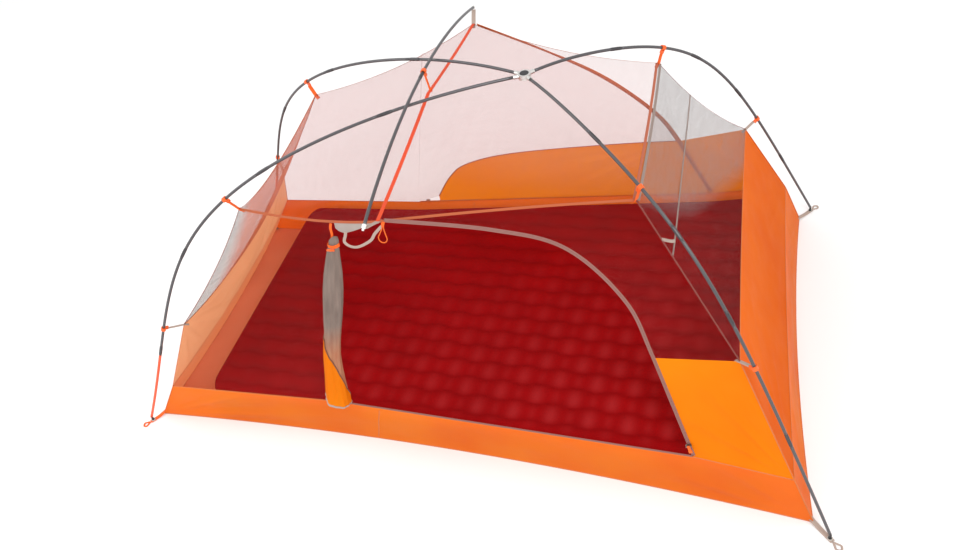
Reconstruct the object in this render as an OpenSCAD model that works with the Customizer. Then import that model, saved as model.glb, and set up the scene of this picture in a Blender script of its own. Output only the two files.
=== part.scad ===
// Two-person backpacking tent body: hubbed pole frame, brow pole, mesh and
// solid fabric canopy, bathtub floor, two zip doors (front one rolled back)
// and a quilted air mat on the floor.
// X runs along the tent (head end at +X), the front door faces -Y, Z is up,
// and the origin is on the ground at the centre of the footprint.

/* [Tent] */
// Length of the floor between its corners
floor_length = 2224; // [2000:1:2400]
// Width of the floor at the head end
head_width = 1310; // [1200:1:1420]
// Height of the pole hub above the ground
hub_height = 1057; // [980:1:1140]
// Height of the bathtub wall
bathtub_height = 172; // [150:1:190]
// Thickness of the plain cloth panels
cloth = 2; // [1.5:0.1:3]

/* [Poles] */
// Outer diameter of the poles
pole_d = 9; // [8:0.1:9.5]
// Outer diameter of the ferrules between pole sections
ferrule_d = 10.4; // [10:0.1:11]
// Length of a ferrule
ferrule_length = 46; // [30:1:60]
// Outer diameter of the hub ring
hub_d = 36; // [32:1:40]
// Height the brow pole reaches over the rib seam
brow_height = 1066; // [1064:1:1075]

/* [Corners] */
// Radius of the hole that a stake goes through
stake_hole_r = 5; // [3:0.5:6]
// Outer radius of a stake loop
stake_loop_r = 11; // [10:0.5:13]

/* [Mat] */
// Thickness of the inflated mat
mat_height = 150; // [60:1:160]
// Gap between the mat and the bathtub walls
mat_gap = 14; // [12:1:30]

/* [Zips] */
// Length of a slider body
slider_length = 16; // [12:1:20]
// Length of a hanging zip pull
pull_length = 22; // [20:1:24]

/* [Hidden] */

// scale of the design points along the three axes
kx = floor_length / 2224;
ky = head_width / 1310;
kz = hub_height / 1057;
function at(x, y, z) = [x * kx, y * ky, z * kz];
function mirror_y(p) = [p[0], -p[1], p[2]];
function to_side(points, side) = side > 0 ? points : [for (p = points) mirror_y(p)];

// design points on the back half (+Y); the front half mirrors them
hub_point = at(286, 0, 1057);
foot_leg = [hub_point, at(-243, 232, 1089), at(-867, 364, 843), at(-747, 433, 718), at(-1148, 547, 20)];
head_leg = [hub_point, at(497, 217, 1057), at(791, 504, 855), at(767, 441, 908), at(1144, 700, 20)];
foot_corner = at(-1121, 514, 3);
head_corner = at(1103, 655, 3);
foot_wall = at(-1001, 511, bathtub_height / kz);
head_wall = at(1040, 634, bathtub_height / kz);
foot_mid = at(-895, 420, 400);
head_mid = at(884, 517, 514);
foot_shoulder = at(-560, 309, 818);
head_shoulder = at(617, 328, 889);
brow_point = at(-7, 507, 954);
brow_x = -15 * kx;
brow_tip = at(-15, 558, 988);
rib_top = at(-8, 0, 1005);
jamb_top = at(-190, 443, 888);
jamb_foot = at(-395, 512, bathtub_height / kz);
// the door arc is curved down to its last point but one, then straight
arc_points = [at(8, 501, 954), at(261, 438, 875), at(441, 409, 791), at(588, 440, 639),
    at(662, 497, 481), at(773, 592, bathtub_height / kz + 6)];
door_panel_top = [at(-300, 522, 198), at(-235, 528, 292), at(-150, 520, 362), at(40, 512, 418),
    at(400, 508, 458), at(655, 500, 480)];
foot_stake = at(-1165, 568, 0);
head_stake = at(1165, 723, 0);
floor_bow = 45;
end_bow = 26;
seam_gap = 0.012;

function unit(v) = v / norm(v);
function mix(a, b, t) = a * (1 - t) + b * t;
function ramp(n) = [for (i = [0:n]) i / n];
// point on a Bezier curve with any number of control points
function bezier(c, t) = len(c) == 1 ? c[0]
    : bezier([for (i = [0:len(c) - 2]) mix(c[i], c[i + 1], t)], t);
// straight edge from a to b that sags by s at its middle
function sagged(a, b, s, n) = [for (t = ramp(n)) mix(a, b, t) + 4 * t * (1 - t) * s];
// smooth curve through the given points
function through(p, n) = [for (i = [0:n]) spline(p, i / n * (len(p) - 1))];
function spline(p, s) = let (k = min(floor(s), len(p) - 2), t = s - k,
    a = p[max(k - 1, 0)], b = p[k], c = p[k + 1], d = p[min(k + 2, len(p) - 1)])
    b + 0.5 * t * (c - a + t * (2 * a - 5 * b + 4 * c - d + t * (3 * b - a - 3 * c + d)));
// point at fraction t along a list of points
function along(p, t) = let (s = t * (len(p) - 1), k = min(floor(s), len(p) - 2)) mix(p[k], p[k + 1], s - k);
function resample(p, n) = [for (t = ramp(n)) along(p, t)];
function joined(a, b) = concat(a, [for (i = [1:len(b) - 1]) b[i]]);

// tube swept along a path with 10 sides; r may change along the path
module tube(path, radii, sides = 10) {
    n = len(path);
    ring = [for (i = [0:n - 1])
        let (d = unit(path[min(i + 1, n - 1)] - path[max(i - 1, 0)]),
            u = unit(cross(d, abs(d[1]) > 0.9 ? [1, 0, 0] : [0, 1, 0])), w = cross(d, u))
        for (k = [0:sides - 1])
            path[i] + radii[i] * (cos(k * 360 / sides) * u + sin(k * 360 / sides) * w)];
    faces = concat([[for (k = [0:sides - 1]) k]],
        [for (i = [0:n - 2]) for (k = [0:sides - 1]) for (face = [
            [i * sides + k, (i + 1) * sides + k, i * sides + (k + 1) % sides],
            [i * sides + (k + 1) % sides, (i + 1) * sides + k, (i + 1) * sides + (k + 1) % sides]]) face],
        [[for (k = [sides - 1:-1:0]) (n - 1) * sides + k]]);
    polyhedron(ring, faces);
}
module even_tube(path, r, sides = 10) {
    tube(path, [for (p = path) r], sides);
}

// cloth panel between two edges, cut back from its seams, with a sag across it
module panel(edge_a, edge_b, n, m, sag = [0, 0, 0], out = 1, cut = [seam_gap, seam_gap]) {
    grid = [for (i = [0:n]) for (j = [0:m])
        let (u = mix(cut[0], 1 - cut[0], i / n), v = mix(cut[1], 1 - cut[1], j / m))
        mix(along(edge_a, u), along(edge_b, u), v) + 16 * u * (1 - u) * v * (1 - v) * sag];
    function g(i, j) = grid[min(max(i, 0), n) * (m + 1) + min(max(j, 0), m)];
    skin = [for (i = [0:n]) for (j = [0:m])
        g(i, j) + out * cloth * unit(cross(g(i + 1, j) - g(i - 1, j), g(i, j + 1) - g(i, j - 1)))];
    count = (n + 1) * (m + 1);
    function quad(a, b, c, d) = out > 0 ? [[a, b, c], [a, c, d]] : [[a, c, b], [a, d, c]];
    function id(i, j) = i * (m + 1) + j;
    faces = [
        for (i = [0:n - 1]) for (j = [0:m - 1]) for (side = [0, 1])
            let (o = side * count, q = side == 0
                ? quad(o + id(i, j), o + id(i + 1, j), o + id(i + 1, j + 1), o + id(i, j + 1))
                : quad(o + id(i, j), o + id(i, j + 1), o + id(i + 1, j + 1), o + id(i + 1, j)))
            for (f = q) f,
        for (i = [0:n - 1]) for (q = [
            quad(id(i, 0), id(i, 0) + count, id(i + 1, 0) + count, id(i + 1, 0)),
            quad(id(i + 1, m), id(i + 1, m) + count, id(i, m) + count, id(i, m))]) for (f = q) f,
        for (j = [0:m - 1]) for (q = [
            quad(id(0, j + 1), id(0, j + 1) + count, id(0, j) + count, id(0, j)),
            quad(id(n, j), id(n, j) + count, id(n, j + 1) + count, id(n, j + 1))]) for (f = q) f];
    polyhedron(concat(grid, skin), faces);
}

// edges shared by neighbouring panels, on the back half
top_foot_edge = sagged(foot_shoulder, brow_point, at(8, -8, -25), 12);
top_head_edge = sagged(brow_point, head_shoulder, at(0, -25, -14), 12);
head_corner_edge = sagged(head_shoulder, head_mid, at(0, -18, -20), 8);
foot_corner_edge = sagged(foot_shoulder, foot_mid, at(0, -25, -18), 8);
arc_curve = through(arc_points, 30);
arc_edge = [for (i = [0:30]) i < 24 ? arc_curve[i] : mix(arc_points[4], arc_points[5], (i - 24) / 6)];
jamb_edge = [jamb_top, jamb_foot];
rib_edge = joined(sagged(mirror_y(brow_point), rib_top, at(0, 0, -4), 6),
    sagged(rib_top, brow_point, at(0, 0, -4), 6));
roof_foot_edge = sagged(mirror_y(foot_shoulder), foot_shoulder, at(-62, 0, -94), 12);
roof_head_edge = sagged(mirror_y(head_shoulder), head_shoulder, at(4, 0, -2), 12);
foot_panel_edge = sagged(mirror_y(foot_mid), foot_mid, at(-14, 0, -66), 12);
head_panel_edge = sagged(mirror_y(head_mid), head_mid, at(-4, 0, -4), 12);
floor_side = sagged(foot_corner, head_corner, at(0, -floor_bow, 0), 16);
// the top of the long walls runs straight between the jamb and the door's lower corner
sill_corner = at(773, 592, bathtub_height / kz);
function between(a, b, x) = mix(a, b, (x - a[0]) / (b[0] - a[0]));
function wall_at(x) = x < jamb_foot[0] ? between(foot_wall, jamb_foot, x)
    : x < sill_corner[0] ? between(jamb_foot, sill_corner, x) : between(sill_corner, head_wall, x);
wall_side = [for (t = ramp(16)) wall_at(mix(foot_wall[0], head_wall[0], t))];
floor_foot = sagged(mirror_y(foot_corner), foot_corner, at(end_bow, 0, 0), 12);
wall_foot = sagged(mirror_y(foot_wall), foot_wall, at(end_bow, 0, 0), 12);
floor_head = sagged(mirror_y(head_corner), head_corner, at(-end_bow, 0, 0), 12);
wall_head = sagged(mirror_y(head_wall), head_wall, at(-8, 0, 0), 12);

module hub() {
    color("silver") translate(hub_point) difference() {
        union() {
            cylinder(d = hub_d, h = 15, center = true, $fn = 64);
            for (leg = [foot_leg, head_leg]) for (side = [-1, 1])
                socket_bar(leg, side);
        }
        cylinder(d = hub_d - 10, h = 16, center = true, $fn = 64);
    }
}
// direction of a leg as it leaves the hub
function leg_start(leg) = unit(leg[1] - leg[0]);
module socket_bar(leg, side) {
    d = side > 0 ? leg_start(leg) : mirror_y(leg_start(leg));
    rotate([0, acos(d[2]), atan2(d[1], d[0])]) translate([0, 0, hub_d / 2 - 3])
        cylinder(d = pole_d + 3, h = 17, $fn = 32);
}
module hub_cap() {
    color("#222222") translate(hub_point) {
        translate([0, 0, -6.5]) cylinder(d = hub_d - 10.6, h = 12, $fn = 64);
        translate([0, 0, 5.5]) cylinder(d = hub_d - 12, h = 3, $fn = 64);
    }
}

// curve fractions where each leg leaves its socket and where its sections meet
foot_marks = [0.0143, 0.176, 0.376, 0.626, 0.865, 1];
head_marks = [0.0272, 0.25, 0.53, 0.72, 0.9, 1];
function leg_path(leg, a, b, n) = [for (t = ramp(n)) bezier(leg, mix(a, b, t))];
function half_ferrule(leg, t) = ferrule_length / 2 / norm(bezier(leg, t + 0.01) - bezier(leg, t - 0.01)) * 0.02;
module leg_section(leg, side, a, b, n) {
    even_tube(to_side(leg_path(leg, a, b, n), side), pole_d / 2);
}
// sections from mark number from to mark number to, parted by the ferrules
module leg_run(leg, side, marks, from, to) {
    for (i = [from:to - 1]) {
        start = i == 0 ? marks[0] : marks[i] + half_ferrule(leg, marks[i]);
        stop = i == 4 ? 1 : marks[i + 1] - half_ferrule(leg, marks[i + 1]);
        leg_section(leg, side, start, stop, 9);
    }
}
module foot_leg_upper(side) { color("#3a3a3c") leg_run(foot_leg, side, foot_marks, 0, 2); }
module foot_leg_lower(side) {
    color("#3a3a3c") leg_run(foot_leg, side, foot_marks, 2, 4);
    color("#e0512a") leg_run(foot_leg, side, foot_marks, 4, 5);
}
module head_leg_upper(side) { color("#3a3a3c") leg_run(head_leg, side, head_marks, 0, 2); }
module head_leg_lower(side) { color("#3a3a3c") leg_run(head_leg, side, head_marks, 2, 5); }
module leg_front_foot_upper() { foot_leg_upper(-1); }
module leg_front_foot_lower() { foot_leg_lower(-1); }
module leg_back_foot_upper() { foot_leg_upper(1); }
module leg_back_foot_lower() { foot_leg_lower(1); }
module leg_front_head_upper() { head_leg_upper(-1); }
module leg_front_head_lower() { head_leg_lower(-1); }
module leg_back_head_upper() { head_leg_upper(1); }
module leg_back_head_lower() { head_leg_lower(1); }
module ferrule(leg, side, t) {
    h = half_ferrule(leg, t) * 0.99;
    even_tube(to_side(leg_path(leg, t - h, t + h, 2), side), ferrule_d / 2);
}
module ferrules() {
    color("#55565a") for (side = [-1, 1]) for (i = [1:4]) {
        ferrule(foot_leg, side, foot_marks[i]);
        ferrule(head_leg, side, head_marks[i]);
    }
    brow_ferrule();
}
module leg_tips() {
    color("#222222") for (leg = [foot_leg, head_leg]) for (side = [-1, 1])
        translate([leg[4][0], side * leg[4][1], 4.6]) {
            cylinder(r = 3.8, h = 11, $fn = 24);
            translate([0, 0, 11]) cylinder(r1 = 3.8, r2 = 2.4, h = 1.8, $fn = 24);
        }
}

// the brow pole is one arc in the plane across the tent at brow_x
brow_drop = brow_height - brow_tip[2];
brow_r = (brow_tip[1] * brow_tip[1] + brow_drop * brow_drop) / (2 * brow_drop);
brow_angle = asin(brow_tip[1] / brow_r);
brow_joint_angle = 0.35;
module brow_arc(from, to, r) {
    translate([brow_x, 0, brow_height - brow_r]) rotate([90, 0, 90]) rotate([0, 0, from])
        rotate_extrude(angle = to - from, $fn = 720) translate([brow_r, 0]) circle(r = r, $fn = 32);
}
module brow_pole_front() { color("#3a3a3c") brow_arc(90 + brow_joint_angle, 90 + brow_angle, pole_d / 2); }
module brow_pole_back() { color("#3a3a3c") brow_arc(90 - brow_angle, 90 - brow_joint_angle, pole_d / 2); }
// short sleeve that joins the two halves over the rib seam
module brow_ferrule() {
    half = brow_r * sin(brow_joint_angle) - 0.3;
    color("#55565a") translate([brow_x, -half, brow_height]) rotate([-90, 0, 0])
        cylinder(d = ferrule_d, h = 2 * half, $fn = 48);
}
module brow_tips() {
    color("white") for (side = [-1, 1])
        translate([brow_x, side * brow_tip[1], brow_tip[2]]) rotate([side * -(90 + brow_angle), 0, 0]) {
            translate([0, 0, 0.4]) cylinder(r = 5.6, h = 9, $fn = 32);
            translate([0, 0, 9.4]) cylinder(r = 3, h = 7, $fn = 32);
        }
}

// hook round a pole at p, its arm pointing to q
module pole_clip(p, q, pole_direction, ring_width = 12) {
    d = unit(pole_direction);
    turn = atan2(d[1], d[0]);
    tilt = acos(d[2]);
    v = q - p;
    flat = [cos(turn) * v[0] + sin(turn) * v[1], cos(turn) * v[1] - sin(turn) * v[0], v[2]];
    local = [cos(tilt) * flat[0] - sin(tilt) * flat[2], flat[1], sin(tilt) * flat[0] + cos(tilt) * flat[2]];
    roll = atan2(local[1], local[0]);
    translate(p) rotate([0, tilt, turn]) rotate([0, 0, roll]) {
        rotate([0, 0, 50]) rotate_extrude(angle = 310, $fn = 48)
            translate([pole_d / 2 + 0.5, -ring_width / 2]) square([3, ring_width]);
        translate([pole_d / 2 + 3, -5, -ring_width / 2]) cube([9, 5.5, ring_width]);
    }
}
// strap from near a to near b
module strap(a, b, width, thick, trim_a, trim_b) {
    d = unit(b - a);
    translate(a) rotate([0, acos(d[2]), atan2(d[1], d[0])])
        translate([-thick / 2, -width / 2, trim_a]) cube([thick, width, norm(b - a) - trim_a - trim_b]);
}
// curve fractions of the clips on the legs
foot_shoulder_t = 0.4665;
foot_mid_t = 0.8172;
head_shoulder_t = 0.4023;
head_mid_t = 0.8033;
function leg_direction(leg, t) = bezier(leg, t + 0.01) - bezier(leg, t - 0.01);
module clip_pair(leg, t, q) {
    p = bezier(leg, t);
    d = leg_direction(leg, t);
    pole_clip(p, q, d);
    pole_clip(mirror_y(p), mirror_y(q), mirror_y(d));
}
module clips_shoulder() {
    color("orangered") {
        clip_pair(foot_leg, foot_shoulder_t, foot_shoulder);
        clip_pair(head_leg, head_shoulder_t, head_shoulder);
    }
}
module clips_mid() {
    color("orangered") {
        clip_pair(foot_leg, foot_mid_t, foot_mid);
        clip_pair(head_leg, head_mid_t, head_mid);
    }
}
brow_hold = [brow_x, 22, brow_height - 0.12];
module clip_brow() { color("orangered") pole_clip(brow_hold, rib_top + [0, 22, 0], [0, 1, 0]); }
clip_reach = pole_d / 2 + 15;
module webbing() {
    color("orange") for (pair = [[bezier(foot_leg, foot_shoulder_t), foot_shoulder],
        [bezier(head_leg, head_shoulder_t), head_shoulder], [bezier(foot_leg, foot_mid_t), foot_mid],
        [bezier(head_leg, head_mid_t), head_mid]]) {
            strap(pair[0], pair[1], 10, 1.4, clip_reach, 5);
            strap(mirror_y(pair[0]), mirror_y(pair[1]), 10, 1.4, clip_reach, 5);
        }
    color("orange") strap(brow_hold, rib_top + [0, 22, 0], 12, 1.4, clip_reach, 6);
    color("lightgrey") for (side = [-1, 1])
        strap([brow_x, side * (brow_tip[1] + 2), brow_tip[2] - 10],
            [brow_point[0], side * brow_point[1], brow_point[2]], 14, 1.4, 2, 8);
}

// where each corner's pole tip stands and where its stake loop reaches
function out_direction(leg, stake) = unit([stake[0] - leg[4][0], stake[1] - leg[4][1], 0]);
hinge_reach = 13;
module corner_foot(leg, corner) {
    tip = [leg[4][0], leg[4][1], 0];
    d = unit(tip - [corner[0], corner[1], 0]);
    reach = norm(tip - [corner[0], corner[1], 0]);
    difference() {
        union() {
            translate(tip) cylinder(r = 9, h = 14, $fn = 48);
            translate([corner[0], corner[1], 0]) rotate([0, 0, atan2(d[1], d[0])])
                translate([4, -9, 0]) cube([reach - 4, 18, 3]);
        }
        translate(tip + [0, 0, 4]) cylinder(r = 4.6, h = 12, $fn = 48);
    }
}
module corner_feet() {
    color("#b9b5ae") for (side = [0, 1]) mirror([0, side, 0]) {
        corner_foot(foot_leg, foot_corner);
        corner_foot(head_leg, head_corner);
    }
}
module stake_loop(leg, stake, side) {
    tip = [leg[4][0], leg[4][1], 0];
    d = out_direction(leg, stake);
    reach = norm([stake[0], stake[1], 0] - tip);
    color("#b9b5ae") mirror([0, side > 0 ? 0 : 1, 0]) translate(tip)
        rotate([0, 0, atan2(d[1], d[0])]) difference() {
            union() {
                translate([reach, 0, 0]) cylinder(r = stake_loop_r, h = 3, $fn = 48);
                translate([hinge_reach - 2, -7, 0]) cube([reach - hinge_reach + 2, 14, 3]);
                translate([hinge_reach, -7, 1.5]) rotate([-90, 0, 0]) cylinder(r = 1.5, h = 14, $fn = 24);
            }
            translate([reach, 0, -1]) cylinder(r = stake_hole_r, h = 5, $fn = 48);
        }
}
module stake_loop_front_foot() { stake_loop(foot_leg, foot_stake, -1); }
module stake_loop_front_head() { stake_loop(head_leg, head_stake, -1); }
module stake_loop_back_foot() { stake_loop(foot_leg, foot_stake, 1); }
module stake_loop_back_head() { stake_loop(head_leg, head_stake, 1); }

// flat outline of the floor, all four sides bowed in
floor_outline = concat([for (p = floor_side) [p[0], -p[1]]], [for (i = [1:11]) [floor_head[i][0], floor_head[i][1]]],
    [for (i = [16:-1:0]) [floor_side[i][0], floor_side[i][1]]],
    [for (i = [11:-1:1]) [floor_foot[i][0], floor_foot[i][1]]]);
module floor_sheet() {
    color("#d9612b") linear_extrude(cloth) polygon(floor_outline);
}
module bathtub_side(side) {
    panel(to_side(floor_side, side), to_side(wall_side, side), 16, 2, out = side, cut = [0.004, 0.02]);
}
module bathtub_front() { color("#ee7a3a") bathtub_side(-1); }
module bathtub_back() { color("#ee7a3a") bathtub_side(1); }
module bathtub_foot() { color("#ee7a3a") panel(floor_foot, wall_foot, 8, 2, out = -1, cut = [0.008, 0.02]); }
module bathtub_head() { color("#ee7a3a") panel(floor_head, wall_head, 8, 2, out = 1, cut = [0.008, 0.02]); }

module foot_panel() { color("#f08c2e") panel(wall_foot, foot_panel_edge, 10, 4, [10, 0, 0], -1, [0.01, 0.02]); }
module foot_mesh() { color("#d8d4d0") panel(foot_panel_edge, roof_foot_edge, 10, 4, [14, 0, -8], -1, [0.01, 0.02]); }
module head_panel() { color("#f08c2e") panel(wall_head, head_panel_edge, 10, 4, [-8, 0, -4], 1, [0.01, 0.02]); }
module head_mesh() { color("#d8d4d0") panel(head_panel_edge, roof_head_edge, 10, 6, [-30, 0, -24], 1, [0.01, 0.02]); }
// the roof panels run from front to back between their end edge and the rib
module roof_foot_mesh() { color("#e6cfca") panel(roof_foot_edge, rib_edge, 12, 6, [0, 0, -16], -1, [0.012, 0.012]); }
module roof_head_mesh() { color("#e6cfca") panel(rib_edge, roof_head_edge, 12, 6, [0, 0, -12], -1, [0.012, 0.012]); }

// long sides: a foot-end mesh, a mesh round the door's arc, a solid corner
outer_foot_edge = joined([foot_wall, foot_mid], [for (i = [8:-1:0]) foot_corner_edge[i]]);
module foot_side_mesh(side) {
    panel(to_side(resample(outer_foot_edge, 10), side), to_side(resample([jamb_foot, jamb_top], 10), side),
        8, 5, [0, -side * 10, 0], side, [0.012, 0.012]);
}
arc_lower = [for (i = [24:30]) arc_edge[i]];
outer_head_edge = joined(top_head_edge, head_corner_edge);
module head_side_mesh(side) {
    inner = [for (i = [6:24]) arc_edge[i]];
    outer = [for (i = [5:len(outer_head_edge) - 1]) outer_head_edge[i]];
    panel(to_side(resample(inner, 16), side), to_side(resample(outer, 16), side),
        16, 2, [0, 0, 0], side, [0.012, 0.1]);
}
module corner_side_panel(side) {
    panel(to_side(arc_lower, side), to_side([head_mid, head_wall], side), 6, 3, [0, -side * 6, 0], side, [0.03, 0.045]);
}
module front_foot_mesh() { color("#d8d4d0") foot_side_mesh(-1); }
module front_head_mesh() { color("#d8d4d0") head_side_mesh(-1); }
module front_corner_panel() { color("#f08c2e") corner_side_panel(-1); }
module back_head_mesh() { color("#d8d4d0") head_side_mesh(1); }
module back_corner_panel() { color("#f08c2e") corner_side_panel(1); }
// the closed back door: mesh above, solid cloth below
module back_foot_mesh() { color("#e0c8c2") foot_side_mesh(1); }
panel_top = through(door_panel_top, 20);
module back_door_panel() {
    low = [for (t = ramp(20)) wall_at(mix(-300, 770, t) * kx) + [0, 0, 7]];
    color("#f08c2e") panel(low, panel_top, 20, 3, [0, -6, 0], -1, [0.012, 0.03]);
}
module back_door_mesh() {
    low = joined([jamb_foot + [0, 0, 8], panel_top[0] + [0, 0, 6]], [for (i = [0:19]) panel_top[i]]);
    high = joined([jamb_top, mix(jamb_top, brow_point, 0.5), arc_edge[0]], [for (i = [0:21]) arc_edge[i]]);
    color("#e0c8c2") panel(resample(low, 22), resample(high, 22), 22, 5, [0, -10, 0], -1, [0.035, 0.02]);
}

tape_r = 1.6;
module tape(path) { even_tube(path, tape_r, 6); }
module rib_tape() { color("#c8452a") translate([0, 0, 1]) tape(resample(rib_edge, 12)); }
module seam_tapes() {
    color("#c06a48") {
        tape(resample(roof_foot_edge, 12));
        tape(resample(roof_head_edge, 6));
    }
    color("#9a8f86") for (side = [-1, 1]) {
        tape(to_side(resample([for (i = [1:7]) head_corner_edge[i]], 6), side));
        tape(to_side(resample([for (i = [1:7]) foot_corner_edge[i]], 6), side));
    }
}
// zip coils run along the arc and the sill of each door
zip_r = 2.2;
sill_lift = 3;
sill_start = wall_at(-378 * kx) + [0, 0, sill_lift];
sill_end = wall_at(756 * kx) + [0, 0, sill_lift];
module zip(side) {
    even_tube(to_side([for (i = [0:2:28]) arc_edge[i]], side), zip_r, 6);
    even_tube(to_side([sill_start, sill_end], side), zip_r, 6);
}
module front_zip() { color("#a39a92") zip(-1); }
module back_zip() { color("#b5653a") zip(1); }

// sliders stand just outside the coil; local x runs along the zip, local y outward
slider_stand = zip_r + 0.8;
slider_h = 8;
slider_t = 4;
pin_r = 0.9;
pin_reach = slider_stand + slider_t + 3.2;
module slider_body() {
    translate([-slider_length / 2, slider_stand, -slider_h / 2]) cube([slider_length, slider_t, slider_h]);
    for (x = [-slider_length / 2 + 1, slider_length / 2 - 3])
        translate([x, slider_stand + slider_t - 0.5, -2]) cube([2, 5, 4]);
    translate([-slider_length / 2 + 1, pin_reach, 0]) rotate([0, 90, 0])
        cylinder(r = pin_r, h = slider_length - 2, $fn = 24);
}
pull_eye_r = 2.6;
module pull_body() {
    width = slider_length - 8;
    difference() {
        union() {
            translate([-width / 2, pin_reach, 0]) rotate([0, 90, 0]) cylinder(r = pull_eye_r, h = width, $fn = 32);
            translate([-width / 2, pin_reach - 1, -pull_length]) cube([width, 2, pull_length]);
            translate([-width / 2 - 1, pin_reach - 1.6, -pull_length]) cube([width + 2, 3.2, 9]);
        }
        translate([-width, pin_reach, 0]) rotate([0, 90, 0]) cylinder(r = pin_r + 0.05, h = 2 * width, $fn = 32);
    }
}
sill_rest = wall_at(-352 * kx) + [0, 0, sill_lift];
sill_turn = atan2(sill_corner[1] - jamb_foot[1], sill_corner[0] - jamb_foot[0]);
module on_sill(side) {
    mirror([0, side > 0 ? 0 : 1, 0]) translate(sill_rest) rotate([0, 0, sill_turn]) children();
}
// the arc slider rests near the foot of the straight run; its pin lies level across it
arc_down = unit(arc_points[5] - arc_points[4]);
arc_rest = mix(arc_points[5], arc_points[4], 0.12);
arc_tilt = asin(arc_down[1]);
arc_lean = atan2(arc_down[0], -arc_down[2]);
module on_arc(side) {
    mirror([0, side > 0 ? 0 : 1, 0]) translate(arc_rest) rotate([arc_tilt, -arc_lean, 0]) children();
}
module front_sill_slider() { color("#8d8a86") on_sill(-1) slider_body(); }
module front_arc_slider() { color("#8d8a86") on_arc(-1) slider_body(); }
module back_sill_slider() { color("#8d8a86") on_sill(1) slider_body(); }
module back_arc_slider() { color("#8d8a86") on_arc(1) slider_body(); }
module front_sill_pull() { color("orange") on_sill(-1) pull_body(); }
module front_arc_pull() { color("orange") on_arc(-1) pull_body(); }
module back_sill_pull() { color("orange") on_sill(1) pull_body(); }
module back_arc_pull() { color("orange") on_arc(1) pull_body(); }

// the front door hangs rolled up beside its jamb, held near the top by a tie
roll_radii = [14, 20, 27, 30, 30, 29, 27, 27, 28, 30, 33, 36, 36];
roll_shift = [22, 22, 25, 26, 26, 25, 23, 21, 21, 26, 33, 41, 46];
roll_gap = 2;
roll_top = 0.045;
roll_foot = 0.965;
function roll_point(t) = mix(jamb_top, jamb_foot, t);
roll_path = [for (i = [0:12]) let (p = roll_point(mix(roll_top, roll_foot, i / 12)))
    [p[0] + roll_shift[i], -p[1] - roll_radii[i] - roll_gap, p[2]]];
module front_door_roll() { color("#c9a27a") tube(roll_path, roll_radii, 12); }
tie_place = 0.4;
tie_point = mix(roll_path[0], roll_path[1], tie_place);
tie_axis = unit(roll_path[1] - roll_path[0]);
tie_r = mix(roll_radii[0], roll_radii[1], tie_place) + 2.2;
module at_tie() {
    translate(tie_point) rotate([0, acos(tie_axis[2]), atan2(tie_axis[1], tie_axis[0])]) children();
}
module door_tie() {
    color("orange") at_tie() rotate_extrude($fn = 48) translate([tie_r, -2.5]) square([1.6, 5]);
}
// the toggle is a small barrel in front of the tie, free to turn in it
toggle_point = tie_point + [0, -tie_r - 6, 0];
module tie_toggle() {
    color("orange") translate(toggle_point) rotate([0, 90, 0]) translate([0, 0, -11]) {
        cylinder(r = 3, h = 22, $fn = 32);
        translate([0, 0, 9]) cylinder(r = 3.8, h = 4, $fn = 32);
    }
}
// a teardrop loop of cord that hangs below the front brow point
loop_point = [brow_point[0] + 18, -brow_point[1] - 12, brow_point[2]];
loop_cord_r = 1.5;
loop_lean = 15;
loop_half = [[1.7, 0, -1], [2.6, 0, -14], [7.6, 0, -32], [11.6, 0, -47], [7.6, 0, -58.5], [0, 0, -62]];
loop_keys = concat(loop_half, [for (i = [4:-1:0]) [-loop_half[i][0], 0, loop_half[i][2]]]);
module pull_loop() {
    color("orange") translate(loop_point) rotate([0, loop_lean, 0]) {
        rotate([0, 90, 0]) cylinder(r = 2.2, h = 9, center = true, $fn = 32);
        even_tube(through(loop_keys, 50), loop_cord_r, 12);
    }
}

// mat outline follows the long walls and has round corners
mat_foot_x = -885 * kx;
mat_head_x = 1005 * kx;
mat_corner_r = 55;
mat_skin = 6;
function mat_side(x) = min(wall_at(x)[1], along(floor_side, (x - foot_corner[0]) / (head_corner[0] - foot_corner[0]))[1])
    - mat_gap;
mat_xs = [for (t = ramp(14)) mix(mat_foot_x, mat_head_x, t)];
// rounded outline of the mat, drawn in by inset
module mat_outline(inset) {
    offset(r = mat_corner_r - inset, $fn = 40) offset(delta = -mat_corner_r)
        polygon(concat([for (x = mat_xs) [x, mat_side(x)]],
            [for (i = [14:-1:0]) [mat_xs[i], -mat_side(mat_xs[i])]]));
}
// the mat is a closed skin round air
module sleeping_mat() {
    color("#8c1c24") translate([0, 0, cloth + 0.3]) difference() {
        linear_extrude(mat_height) mat_outline(0);
        translate([0, 0, mat_skin]) linear_extrude(mat_height - 2 * mat_skin) mat_outline(mat_skin);
    }
}

hub();
hub_cap();
leg_front_foot_upper();
leg_front_foot_lower();
leg_back_foot_upper();
leg_back_foot_lower();
leg_front_head_upper();
leg_front_head_lower();
leg_back_head_upper();
leg_back_head_lower();
ferrules();
leg_tips();
brow_pole_front();
brow_pole_back();
brow_tips();
clips_shoulder();
clips_mid();
clip_brow();
webbing();
corner_feet();
stake_loop_front_foot();
stake_loop_front_head();
stake_loop_back_foot();
stake_loop_back_head();
floor_sheet();
bathtub_front();
bathtub_back();
bathtub_foot();
bathtub_head();
foot_panel();
foot_mesh();
roof_foot_mesh();
roof_head_mesh();
head_mesh();
head_panel();
front_foot_mesh();
front_head_mesh();
front_corner_panel();
back_foot_mesh();
back_door_mesh();
back_door_panel();
back_head_mesh();
back_corner_panel();
rib_tape();
seam_tapes();
front_zip();
back_zip();
front_sill_slider();
front_arc_slider();
back_sill_slider();
back_arc_slider();
front_sill_pull();
front_arc_pull();
back_sill_pull();
back_arc_pull();
front_door_roll();
door_tie();
tie_toggle();
pull_loop();
sleeping_mat();
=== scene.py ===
import math

import bpy
import numpy as np
from mathutils import Matrix, Vector, noise


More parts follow.
